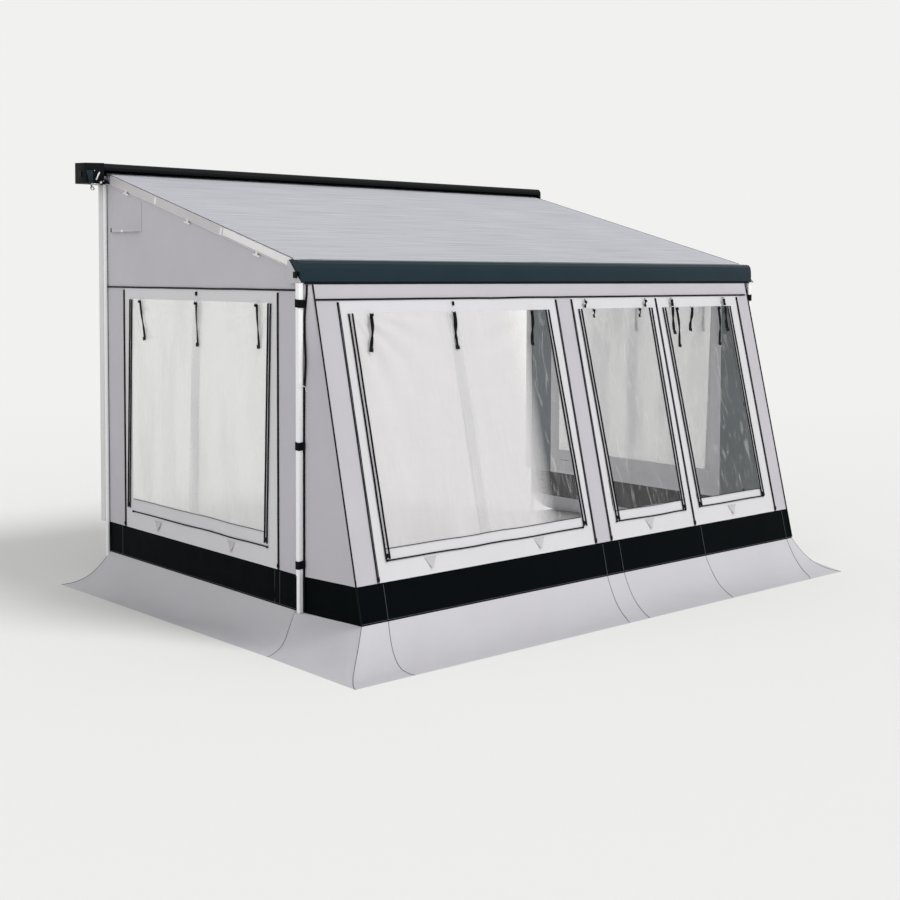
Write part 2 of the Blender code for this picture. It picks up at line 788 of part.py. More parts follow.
def add_lever(side, x, finishes):
    """The lever that locks the inner tube, hinged on its pin, with a lip for the thumb."""
    pivot = lever_pivot(x)
    half = lever_depth / 2
    turns = [math.pi * step / 8 for step in range(9)]
    outline = [(half * math.cos(angle), half * math.sin(angle)) for angle in turns]
    outline += [(-half, half - lever_length), (-half - lever_lip, -lever_length), (0.0, -lever_length)]
    outline.append((half, half - lever_length))
    frame = section_frame("lever_frame_" + side, x - lever_width / 2)
    axis = (vehicle_y - pivot.y, pivot.z, 0.0)
    lever = add_plate("leg_lever_" + side, [outline], lever_width, finishes["moulding"], frame, axis)
    reach = gap + ear_thickness
    ends = ((0.0, 0.0, reach), (0.0, 0.0, -lever_width - reach))
    pin = add_rod("lever_pin_" + side, ends[0], ends[1], lever_pin_radius, None, lever, 16)
    combine(lever, [pin], "UNION")


def add_rear_poles(finishes):
    """The poles behind the side walls, and the foam seals between them and the vehicle."""
    top = cassette_bottom - gap
    for side, sign in (("left", -1), ("right", 1)):
        x = sign * pole_x
        profile = [(0.0, 0.0), (0.0, pole_foot_radius), (pole_foot_thickness, pole_foot_radius)]
        profile += [(pole_foot_thickness, pole_radius), (top, pole_radius), (top, 0.0)]
        sole = place(x, pole_setback, 0.0)
        add_turned("rear_pole_" + side, profile, sole, (0, 0, 1), finishes["white"])
        low = place(x - seal_width / 2, pole_setback - pole_radius - gap, band_top)
        high = place(x + seal_width / 2, 0.0, top)
        add_box("wall_seal_" + side, low, high, finishes["foam"])


# Room walls


def side_frames():
    """A frame for each side wall: X runs along the wall, Y up and Z out of the room."""
    left = add_frame("left_wall_frame", place(-wall_x, 0.0, 0.0), (0, -1, 0), (-1, 0, 0))
    right = add_frame("right_wall_frame", place(wall_x, 0.0, 0.0), (0, 1, 0), (1, 0, 0))
    return (("left", left, 1), ("right", right, -1))


def wall_top(setback):
    """Height of a side wall's top edge, under the rafter."""
    return under_roof(setback, cloth + gap + rafter_height + gap)


def along(sign, points):
    """Turns setbacks into places along a side wall's frame."""
    return [(sign * setback, height) for setback, height in points]


def side_wall_outline():
    """The side wall round its zip-in panel, with the gable over it."""
    under_cassette = cassette_bottom - gap
    slope_start = (wall_top(0.0) - under_cassette) / math.tan(roof_pitch)
    front = leg_setback - cloth - gap
    foot = band_top
    return [
        (pole_setback, foot),
        (pole_setback, under_cassette),
        (slope_start, under_cassette),
        (rail_rear_setback - gap, wall_top(rail_rear_setback - gap)),
        (rail_rear_setback - gap, rail_bottom - gap),
        (front, rail_bottom - gap),
        (front, foot),
        (side_panel_front, foot),
        (side_panel_front, side_panel_top),
        (side_panel_rear, side_panel_top),
        (side_panel_rear, foot),
    ]


def vent_outline(inset, side_inset):
    """The vent in the gable, its top along the roof's slope, so the flap needs more room at its sides."""
    rear = vent_rear + side_inset
    front = vent_front - side_inset
    return [
        (rear, vent_bottom + inset),
        (front, vent_bottom + inset),
        (front, wall_top(front) - vent_drop - inset),
        (rear, wall_top(rear) - vent_drop - inset),
    ]


def add_side_walls(finishes):
    """Side walls with a vent flap, a zip-in panel and a window flap each, over a black band."""
    for side, frame, sign in side_frames():
        band = rectangle(pole_setback, skirt_height, leg_setback - cloth - gap, band_top - gap)
        add_plate("side_band_" + side, [along(sign, band)], cloth, finishes["black"], frame)
        wall = [along(sign, side_wall_outline()), along(sign, vent_outline(0.0, 0.0))]
        add_plate("side_wall_" + side, wall, cloth, finishes["grey"], frame)
        hinge = (sign * vent_rear, wall_top(vent_rear) - vent_drop - gap, 0.0)
        flap = [(u - hinge[0], v - hinge[1]) for u, v in along(sign, vent_outline(gap, vent_side_gap))]
        add_plate("vent_flap_" + side, [flap], cloth, finishes["grey"], frame, hinge)
        top = side_panel_top - gap
        panel = rectangle(side_panel_rear + gap, band_top, side_panel_front - gap, top)
        hole = rectangle(side_window_rear, side_window_bottom, side_window_front, side_window_top)
        shifted = [[(u, v - top) for u, v in along(sign, loop)] for loop in (panel, hole)]
        add_plate("side_panel_" + side, shifted, cloth, finishes["pale"], frame, (0.0, top, 0.0))
        window_top = side_window_top - gap
        fall = window_top - side_window_bottom - gap
        pane = [along(sign, rectangle(side_window_rear + gap, -fall, side_window_front - gap, 0.0))]
        add_plate("side_window_" + side, pane, cloth, finishes["vinyl"], frame, (0.0, window_top, 0.0))


def front_frame():
    """The sloping front's frame: X across it, Y up it from its foot and Z out of the room."""
    outward = (0.0, -math.cos(lean_angle), math.sin(lean_angle))
    return add_frame("front_wall_frame", place(0.0, front_foot_setback, skirt_height), (1, 0, 0), outward)


def front_layout():
    """Left and right edges of each zip-in panel and of its window."""
    half = front_width / 2
    right_3 = half - front_far_strip
    left_3 = right_3 - front_panel_3_width
    left_2 = left_3 - front_panel_2_width
    right_1 = left_2 - front_mid_strip
    left_1 = -half + front_end_strip
    panels = {"1": (left_1, right_1), "2": (left_2, left_3), "3": (left_3, right_3)}
    margins = {"1": front_window_1_margins, "2": front_window_2_margins, "3": front_window_3_margins}
    windows = {}
    for number, (left, right) in panels.items():
        windows[number] = (left + margins[number][0], right - margins[number][1])
    return panels, windows


def add_front_wall(finishes):
    """The sloping front: its strips and valance, three zip-in panels, a window flap in each."""
    frame = front_frame()
    half = front_width / 2
    foot = up_front(band_top)
    head = up_front(rail_bottom) - gap - cloth * math.tan(lean_angle)
    panel_top = up_front(front_panel_top)
    panels, windows = front_layout()
    outline = [(-half, foot), (-half, head), (half, head), (half, foot)]
    for left, right in ((panels["2"][0], panels["3"][1]), panels["1"]):
        outline += [(right, foot), (right, panel_top), (left, panel_top), (left, foot)]
    add_plate("front_wall", [outline], cloth, finishes["grey"], frame)
    window_top = up_front(front_window_top)
    window_bottom = up_front(front_window_bottom)
    for number, (left, right) in panels.items():
        top = panel_top - gap
        near, far = windows[number]
        panel = rectangle(left + gap, foot - top, right - gap, 0.0)
        hole = rectangle(near, window_bottom - top, far, window_top - top)
        add_plate("front_panel_" + number, [panel, hole], cloth, finishes["pale"], frame, (0.0, top, 0.0))
        head_line = window_top - gap
        pane = rectangle(near + gap, window_bottom + gap - head_line, far - gap, 0.0)
        add_plate("front_window_" + number, [pane], cloth, finishes["vinyl"], frame, (0.0, head_line, 0.0))
    band = rectangle(-half, 0.0, half, foot - gap)
    add_plate("front_band", [band], cloth, finishes["black"], frame)


def inward_normal(run, sign):
    """The horizontal way into the room, square to a run along a side."""
    return Vector((run.y, -run.x, 0.0)).normalized() * sign


def corner_line(sign, z):
    """Two points at a height: on the leg's seam, and on the sloping front's outer corner."""
    seam = place(sign * wall_x, leg_setback, z)
    edge = place(sign * front_width / 2, front_setback(z, cloth + gap), z)
    return seam, edge


def add_corner_wedges(finishes):
    """The cloth between each leg and the sloping front, with its share of the black band."""
    rows = 10
    columns = 4
    head = rail_bottom - gap - cloth / 3
    for side, sign in (("left", -1), ("right", 1)):
        outer = []
        inner = []
        for row in range(rows + 1):
            z = skirt_height + (head - skirt_height) * row / rows
            seam, edge = corner_line(sign, z)
            run = edge - seam
            inward = inward_normal(run, sign)
            outer.append([seam + run * column / columns for column in range(columns + 1)])
            inner.append([point + inward * cloth for point in outer[-1]])
        add_shell("corner_wedge_" + side, outer, inner, finishes["grey"])


# Skirts


def skirt_fall(share):
    """The share of its height that the skirt keeps at a share of its way out."""
    return (1.0 - share) ** skirt_curve


def add_skirt(name, heads, hems, notch_sides, finishes):
    """A flared skirt between its head line and its hem on the ground, notched for the legs."""
    rows = 10
    outer = []
    inner = []
    for row in range(rows + 1):
        share = row / rows
        height = (skirt_height - gap - cloth) * skirt_fall(share)
        points = [head.lerp(hem, share) for head, hem in zip(heads, hems)]
        outer.append([Vector((point.x, point.y, height + cloth)) for point in points])
        inner.append([Vector((point.x, point.y, height)) for point in points])
    skirt = add_shell(name, outer, inner, finishes["skirt"], smooth=True)
    reach = leg_size / 2 + leg_slit
    notches = []
    for sign in notch_sides:
        low = place(sign * (leg_x - leg_size), leg_setback - reach, skirt_height / 4)
        high = place(sign * (leg_x + reach), leg_setback + reach, skirt_height * 1.25)
        notches.append(add_box(name + "_notch" + str(sign), low, high, None))
    return combine(skirt, notches, "DIFFERENCE")


def side_run(sign, start, end, start_flare, end_flare, steps):
    """Head and hem points of a skirt along a side wall."""
    heads = []
    hems = []
    for step in range(steps + 1):
        share = step / steps
        setback = start + (end - start) * share
        flare = start_flare + (end_flare - start_flare) * share
        heads.append(place(sign * wall_x, setback, 0.0))
        hems.append(place(sign * (wall_x + flare), setback, 0.0))
    return heads, hems


def corner_run(sign, steps):
    """Head and hem points of a skirt from a leg to the corner of the sloping front.

    On the left the hem's corner spreads as far out as at the leg. On the right it comes in to the
    front's own end.
    """
    leg_head = place(sign * wall_x, leg_setback + gap, 0.0)
    leg_hem = place(sign * (wall_x + corner_side_flare), leg_setback + gap, 0.0)
    head = place(sign * front_width / 2, front_foot_setback, 0.0)
    corner_x = wall_x + corner_side_flare if sign < 0 else front_width / 2 - right_corner_setin
    hem = place(sign * corner_x, front_foot_setback + front_flare, 0.0)
    heads = [leg_head.lerp(head, step / steps) for step in range(steps + 1)]
    hems = [leg_hem.lerp(hem, step / steps) for step in range(steps + 1)]
    return heads, hems


def add_skirts(finishes):
    """The flared skirts that lie on the ground along both sides and round the front."""
    rear = pole_setback + pole_radius + gap
    for side, sign in (("left", -1), ("right", 1)):
        heads, hems = side_run(sign, rear, leg_setback, rear_side_flare, corner_side_flare, 8)
        add_skirt("side_skirt_" + side, heads, hems, (sign,), finishes)
    left_heads, left_hems = corner_run(-1, 3)
    right_heads, right_hems = corner_run(1, 3)
    steps = 12
    heads = left_heads[:-1]
    hems = left_hems[:-1]
    for step in range(steps + 1):
        share = step / steps
        heads.append(left_heads[-1].lerp(right_heads[-1], share))
        hems.append(left_hems[-1].lerp(right_hems[-1], share))
    heads += right_heads[-2::-1]
    hems += right_hems[-2::-1]
    add_skirt("front_skirt", heads, hems, (-1, 1), finishes)


def main():
    """Builds the tent."""
    clear_scene()
    finishes = make_finishes()
    add_cassette(finishes)
    add_roof(finishes)
    add_lead_rail(finishes)
    add_arms(finishes)
    add_rafters(finishes)
    add_legs(finishes)
    add_rear_poles(finishes)
    add_side_walls(finishes)
    add_front_wall(finishes)
    add_corner_wedges(finishes)
    add_skirts(finishes)


main()
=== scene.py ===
"""Looks of the recreational vehicle tent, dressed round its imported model.

The word setback is the distance in front of the vehicle's wall, towards -Y. Every wall has a cutting
table of its own, with a way across, a way up and a way out. Cloth is cut flat on that table, creased,
given its thickness and then hung in its place, so its pattern keeps the flat cut's real size. Pieces
named left are mirrored to the right. Lengths are in metres.
"""

import json
import logging
import math
from contextlib import contextmanager
from dataclasses import dataclass
from enum import Enum
from typing import Callable, ClassVar, Iterable, Iterator, NamedTuple, Sequence

import bmesh
import bpy
from mathutils import Matrix, Vector, noise

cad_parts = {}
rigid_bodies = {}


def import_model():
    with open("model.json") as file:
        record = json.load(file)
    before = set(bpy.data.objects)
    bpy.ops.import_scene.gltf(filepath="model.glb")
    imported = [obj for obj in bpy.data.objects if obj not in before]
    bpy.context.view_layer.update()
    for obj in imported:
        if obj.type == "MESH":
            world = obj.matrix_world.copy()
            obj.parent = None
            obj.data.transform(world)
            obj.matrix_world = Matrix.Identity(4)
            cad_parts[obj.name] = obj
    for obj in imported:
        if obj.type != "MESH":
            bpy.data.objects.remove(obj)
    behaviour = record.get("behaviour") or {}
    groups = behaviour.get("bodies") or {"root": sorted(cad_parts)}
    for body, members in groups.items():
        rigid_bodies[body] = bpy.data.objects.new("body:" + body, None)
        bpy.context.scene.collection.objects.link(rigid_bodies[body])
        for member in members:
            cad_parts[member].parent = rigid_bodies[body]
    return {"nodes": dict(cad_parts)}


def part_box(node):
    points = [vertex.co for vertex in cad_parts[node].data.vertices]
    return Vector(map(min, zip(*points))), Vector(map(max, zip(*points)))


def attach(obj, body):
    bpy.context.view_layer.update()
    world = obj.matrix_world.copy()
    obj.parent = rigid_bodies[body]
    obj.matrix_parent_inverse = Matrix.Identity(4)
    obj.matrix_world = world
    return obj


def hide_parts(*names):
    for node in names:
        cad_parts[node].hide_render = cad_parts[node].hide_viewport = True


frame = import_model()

log = logging.getLogger("tent")
Piece = bpy.types.Object
Tree = bpy.types.NodeTree
Socket = bpy.types.NodeSocket
Flat = tuple[float, float]
CUT_MAP = "cut"
ROOT = "root"
MM = 0.001
CANVAS, TAPE, FILM, THIN_FILM = 0.0014, 0.0012, 0.0008, 0.0006
HEM_RADIUS, SEAM_RADIUS, PIPING_RADIUS = 0.0011, 0.0013, 0.0062
PIPING_OVER_PANEL = 0.009
OUT = Vector((0.0, 0.0, 1.0))


def clamp(value: float) -> float:
    """Keeps a value between 0 and 1."""
    return max(0.0, min(1.0, value))


def hump(distance: float, width: float) -> float:
    """1 in the middle of a hump, dying away on both sides."""
    return math.exp(-(distance / width) ** 2)


def wave(x: float, y: float, seed: float) -> float:
    """A smooth unevenness between about -1 and 1, the same in every run."""
    return noise.noise(Vector((x, y, seed)))


def srgb(code: str) -> tuple[float, float, float, float]:
    """Turns a screen colour into linear light.

    Args:
        code: six hexadecimal digits, such as "C8C8CE".

    Returns:
        Red, green, blue and an alpha of 1.
    """
    parts = [int(code[start:start + 2], 16) / 255 for start in (0, 2, 4)]
    linear = [p / 12.92 if p <= 0.04045 else ((p + 0.055) / 1.055) ** 2.4 for p in parts]
    return (*linear, 1.0)


def add_node(tree: Tree, kind: str, inputs: dict | None = None, out: str | int = 0,
             **settings) -> Socket | None:
    """Adds a shader node with its settings and links.

    Args:
        tree: the material's or world's nodes.
        kind: the node's type, after its "ShaderNode".
        inputs: a value, or another node's output, for each socket by name or number.
        out: the output that is wanted.
        settings: the node's own properties.

    Returns:
        That output, or None for a node that has none.
    """
    node = tree.nodes.new("ShaderNode" + kind)
    for name, value in settings.items():
        setattr(node, name, value)
    for name, value in (inputs or {}).items():
        if isinstance(value, Socket):
            tree.links.new(value, node.inputs[name])
        else:
            node.inputs[name].default_value = value
    return node.outputs[out] if node.outputs else None


# Finishes


@dataclass(frozen=True)
class Finish:
    """A surface: its two tones, how glossy it is and the relief that its making leaves.

    The drifts are sizes of the pattern in millimetres: grain is the fine relief, and mottle the slow
    change of tone. Both are drawn on the piece's own place in the room.
    """

    name: str
    slot: str
    colour: str
    shade: str
    roughness: float
    metallic: float = 0.0
    grain: float = 4.0
    grain_depth: float = 0.15
    mottle: float = 400.0
    coat: float = 0.0
    specular: float = 0.5

    def build(self) -> bpy.types.Material:
        """Makes the material: shader, tones, roughness and relief, in that order."""
        material = bpy.data.materials.new(self.name)
        material.use_nodes = True
        tree = material.node_tree
        shader = tree.nodes["Principled BSDF"]
        shader.inputs["Metallic"].default_value = self.metallic
        shader.inputs["Coat Weight"].default_value = self.coat
        shader.inputs["Specular IOR Level"].default_value = self.specular
        place = self.place(tree)
        tree.links.new(self.tone(tree, place), shader.inputs["Base Color"])
        tree.links.new(self.gloss(tree, place), shader.inputs["Roughness"])
        relief = {"Strength": self.grain_depth, "Distance": MM, "Height": self.relief(tree, place)}
        tree.links.new(add_node(tree, "Bump", relief), shader.inputs["Normal"])
        self.dress(tree, shader, place)
        return material

    def place(self, tree: Tree) -> Socket:
        """The coordinates that the pattern is drawn on."""
        return add_node(tree, "TexCoord", out="Object")

    def tone(self, tree: Tree, place: Socket) -> Socket:
        """A slow drift between the surface's two tones."""
        drift = {"Vector": place, "Scale": 1 / (self.mottle * MM), "Detail": 5.0}
        return self.between_tones(tree, add_node(tree, "TexNoise", drift))

    def between_tones(self, tree: Tree, share: Socket) -> Socket:
        """Mixes the shade and the colour by a share from 0 to 1."""
        tones = {0: share, 6: srgb(self.shade), 7: srgb(self.colour)}
        return add_node(tree, "Mix", tones, 2, data_type="RGBA")

    def gloss(self, tree: Tree, place: Socket) -> Socket:
        """Roughness with a little wear and handling in it."""
        worn = add_node(tree, "TexNoise", {"Vector": place, "Scale": 9.0, "Detail": 6.0})
        limits = {"Value": worn, "To Min": self.roughness - 0.06, "To Max": self.roughness + 0.08}
        return add_node(tree, "MapRange", limits)

    def relief(self, tree: Tree, place: Socket) -> Socket:
        """The fine grain of the surface."""
        return add_node(tree, "TexNoise", {"Vector": place, "Scale": 1 / (self.grain * MM), "Detail": 3.0})

    def dress(self, tree: Tree, shader: bpy.types.Node, place: Socket) -> None:
        """What a finish adds to the plain one."""


@dataclass(frozen=True)
class Extruded(Finish):
    """Aluminium pushed through a die, whose faint lines run along the piece's length."""

    length_axis: int = 0

    def relief(self, tree: Tree, place: Socket) -> Socket:
        """Die lines, drawn out along the extrusion."""
        scale = [1 / (self.grain * MM)] * 3
        scale[self.length_axis] = 0.6
        along = add_node(tree, "Mapping", {"Vector": place, "Scale": scale})
        return add_node(tree, "TexNoise", {"Vector": along, "Scale": 1.0, "Detail": 2.0})


@dataclass(frozen=True)
class Woven(Finish):
    """Cloth, whose threads follow its flat cut. The grain is the thickness of a slub in the yarn.

    The real threads lie under a millimetre apart, which no picture of a whole tent can show, so only
    their slubs are drawn, long along the thread and narrow across it.
    """

    slub: float = 120.0
    contrast: float = 0.35
    weft_only: bool = False

    def place(self, tree: Tree) -> Socket:
        """The flat cut's own metres."""
        return add_node(tree, "UVMap", uv_map=CUT_MAP)

    def threads(self, tree: Tree, place: Socket, along: int) -> Socket:
        """Slubs that run one way of the cloth."""
        scale = [1 / (self.grain * MM), 1 / (self.grain * MM), 1.0]
        scale[along] = 1 / (self.slub * MM)
        lie = add_node(tree, "Mapping", {"Vector": place, "Scale": scale})
        return add_node(tree, "TexNoise", {"Vector": lie, "Scale": 1.0, "Detail": 2.0})

    def relief(self, tree: Tree, place: Socket) -> Socket:
        """The slubs' height, warp and weft together."""
        weft = self.threads(tree, place, 0)
        if self.weft_only:
            return weft
        both = add_node(tree, "Math", {0: weft, 1: self.threads(tree, place, 1)}, operation="ADD")
        return add_node(tree, "Math", {0: both, 1: 0.5}, operation="MULTIPLY")

    def tone(self, tree: Tree, place: Socket) -> Socket:
        """The slow drift, with each slub a little lighter or darker."""
        drift = add_node(tree, "TexNoise", {"Vector": place, "Scale": 1 / (self.mottle * MM), "Detail": 4.0})
        blend = {0: 1.0 - self.contrast, 2: self.relief(tree, place), 3: drift}
        return self.between_tones(tree, add_node(tree, "Mix", blend, data_type="FLOAT"))

    def dress(self, tree: Tree, shader: bpy.types.Node, place: Socket) -> None:
        """A faint sheen, as coated yarn has at a low angle."""
        shader.inputs["Sheen Weight"].default_value = 0.1 * self.specular
        shader.inputs["Sheen Roughness"].default_value = 0.5


@dataclass(frozen=True)
class ClearFilm(Woven):
    """Rolled clear film: glossy, milky in drifts, and faintly ribbed by the roller that pressed it.

    Its milky drifts run in slanting bands, which are also painted sheen. Past a line across the wall it is
    newer and clearer, and keeps only a share of both. There flecks of extra milkiness are painted glints,
    for the light that the fine folds left by rolling it up catch.
    """

    milk_sheen_low: float = 0.16
    milk_sheen_high: float = 0.55
    clear_from: float = 9.0
    clear_share: float = 0.07

    def dress(self, tree: Tree, shader: bpy.types.Node, place: Socket) -> None:
        """The milkiness, in slanting bands that are also painted sheen, and the flecks of painted glint: the
        room shows through where both are thin.
        """
        # Slanting bands of milkiness, which also paint the film's sheen.
        slant = {"Vector": place, "Scale": (2.6, 0.55, 1.0), "Rotation": (0.0, 0.0, 0.35)}
        stretch = add_node(tree, "Mapping", slant)
        drift = add_node(tree, "TexNoise", {"Vector": stretch, "Scale": 1.5, "Detail": 4.0})
        milk_and_sheen = add_node(tree, "MapRange", {"Value": drift, "From Min": 0.42, "From Max": 0.72,
                                           "To Min": self.milk_sheen_low, "To Max": self.milk_sheen_high})
        across = add_node(tree, "SeparateXYZ", {0: place})
        kept = add_node(tree, "MapRange", {"Value": across, "From Min": self.clear_from,
                                           "From Max": self.clear_from + 0.22, "To Min": 1.0,
                                           "To Max": self.clear_share})
        milky = add_node(tree, "Math", {0: milk_and_sheen, 1: kept}, operation="MULTIPLY")
        # Flecks of extra milkiness where this noise peaks: painted glints, as if fine folds caught the light.
        glint_noise = {"Vector": stretch, "Scale": 9.0, "Detail": 7.0, "Distortion": 1.2}
        folds = add_node(tree, "TexNoise", glint_noise)
        caught = {"Value": folds, "From Min": 0.48, "From Max": 0.80, "To Max": 0.22}
        alpha = {0: milky, 1: add_node(tree, "MapRange", caught)}
        tree.links.new(add_node(tree, "Math", alpha, operation="MAXIMUM"), shader.inputs["Alpha"])
        shader.inputs["IOR"].default_value = 1.53


class Surface(Enum):
    """Every finish on the tent, by what it is."""

    # Acrylic awning cloth, spun and coated: matt, with streaks along the weft, which lies along the rail.
    # The streaks are drawn some ten times wider than the yarn, as the eye gathers them from afar.
    ROOF = Woven("acrylic awning cloth", "roof", "D6D6DD", "93949D", 0.72, grain=26, slub=700,
                 contrast=0.85, grain_depth=0.3, mottle=1500, weft_only=True, specular=0.3)
    # Polyester canvas, coated on its back: matt and even, grey on the gables and strips.
    GREY_CANVAS = Woven("grey polyester canvas", "grey", "CBC9CF", "BAB8BD", 0.8, grain=9, slub=60,
                        grain_depth=0.3, specular=0.3)
    # Its coated back, smoother, in a slate grey darkened as painted shade for the dim inside of the room.
    CANVAS_BACK = Woven("coated back of the canvas", "grey", "6A7579", "5E686C", 0.6, grain=12, slub=60,
                        grain_depth=0.15, specular=0.3)
    # The same canvas in its off-white colour, on the zip-in panels.
    PALE_CANVAS = Woven("off-white polyester canvas", "pale", "E0DFE2", "D4D3D6", 0.78, grain=9, slub=60,
                        grain_depth=0.3, specular=0.3)
    # Woven polyester coated with black vinyl, wiped clean: a low satin gloss that shows its creases.
    BLACK_CANVAS = Woven("black coated canvas", "black", "03090C", "020507", 0.6, grain=8, slub=50,
                         grain_depth=0.4, specular=0.03)
    # Vinyl-coated skirt, smooth and a little limp: even grey with a satin gloss.
    SKIRT = Woven("grey vinyl skirt", "skirt", "CDCCD1", "BFBDC2", 0.5, grain=14, slub=90,
                  grain_depth=0.2, mottle=700, specular=0.4)
    # Calendered clear vinyl, milky from use on the side wall, its slanting bands also painted sheen.
    FILM_SIDE = ClearFilm("milky calendered vinyl", "vinyl", "FAFAFA", "F0F0F1", 0.12, grain=26, slub=500,
                          grain_depth=0.25, contrast=0.5, milk_sheen_low=0.42, milk_sheen_high=0.68)
    # The same on the front, where it clears towards the right.
    FILM_FRONT = ClearFilm("calendered clear vinyl", "vinyl", "EBE9EA", "DDDBDC", 0.12, grain=26, slub=500,
                           grain_depth=0.35, contrast=0.5, milk_sheen_low=0.60, milk_sheen_high=0.80, clear_from=-0.62)
    # The same film doubled by a welded strip.
    FILM_STRIP = ClearFilm("welded vinyl strip", "vinyl", "E6E6E8", "DCDCDE", 0.2, grain=26, slub=500,
                           grain_depth=0.2, milk_sheen_low=0.14, milk_sheen_high=0.22)
    # Woven polyester webbing and zip tape, dyed black: dull, with its ribs just in sight.
    WEBBING = Woven("black polyester webbing", "black", "0C0E10", "050607", 0.68, grain=3, slub=20,
                    grain_depth=0.6, specular=0.08)
    # Black vinyl pulled over a cord: a soft shine along its top.
    PIPING = Finish("black vinyl piping", "black", "090B0D", "040506", 0.42, grain=5, specular=0.1)
    # Grey sewing thread and seam tape, drawn as one soft line because single stitches can't show.
    THREAD = Finish("grey polyester seam", "moulding", "6E6F75", "55565B", 0.7, grain=3, specular=0.2)
    # Zip coils of polyamide, grey and slightly glossy.
    COIL = Finish("polyamide zip coil", "moulding", "B4B5B9", "97999D", 0.35, grain=2)
    # Glass-filled polyamide mouldings, matt black with a spark-eroded skin.
    MOULDING = Finish("black polyamide moulding", "moulding", "0A0D0F", "050708", 0.5, grain=2,
                      grain_depth=0.25, specular=0.12)
    # Powder-coated aluminium in slate blue, satin, with die lines along its length.
    SLATE = Extruded("slate powder-coated aluminium", "anthracite", "1F323C", "182830", 0.36, metallic=0.1,
                     grain=7, grain_depth=0.1, coat=0.02, specular=0.14)
    # The casing's darker coat, close to black.
    ANTHRACITE = Extruded("anthracite powder-coated aluminium", "anthracite", "0B0F12", "06090B", 0.5,
                          grain=7, grain_depth=0.1, specular=0.08)
    # White coated aluminium tube, bright and glossy, with die lines up its length.
    WHITE_UPRIGHT = Extruded("white coated upright", "white", "FDFDFE", "F6F6F8", 0.28, grain=3,
                             grain_depth=0.1, coat=0.6, length_axis=2)
    # The white coating on the bars that lie under the roof, greyed as painted shade.
    WHITE_BAR = Extruded("grey-white coated bar", "white", "D0CCCE", "C3C0C2", 0.34, grain=4,
                         grain_depth=0.1, length_axis=1)
    # The bright coating of the bars that slide in them.
    WHITE_INNER = Extruded("white coated bar", "white", "F6F3F4", "EBE8E9", 0.3, grain=4, grain_depth=0.1,
                           length_axis=1)
    # Zinc-plated steel, bright with a slight frost.
    ZINC = Finish("zinc-plated steel", "steel", "C4C7CB", "A9ADB2", 0.3, metallic=1.0, grain=6, mottle=30)
    # White polyamide clips, with a moulding's dull shine.
    WHITE_CLIP = Finish("white polyamide", "white", "F0F0F0", "E4E4E4", 0.45, grain=2)
    # Closed-cell foam with its fine cut skin: quite matt.
    FOAM = Finish("white closed-cell foam", "foam", "E6E6E6", "D6D6D6", 0.9, grain=3, grain_depth=0.6)

    @property
    def material(self) -> bpy.types.Material:
        """The finish's material, made when it is first asked for."""
        return bpy.data.materials.get(self.value.name) or self.value.build()


# Hand work


class Edges(NamedTuple):
    """A rectangle on a cutting table."""

    left: float
    right: float
    low: float
    high: float


@dataclass(frozen=True)
class Table:
    """A wall's cutting table: its origin in the room, its way across and its way up."""

    origin: Vector
    across: Vector
    up: Vector

    def matrix(self) -> Matrix:
        """The move from the table to the room."""
        turn = Matrix((self.across, self.up, self.across.cross(self.up))).transposed().to_4x4()
        return Matrix.Translation(self.origin) @ turn


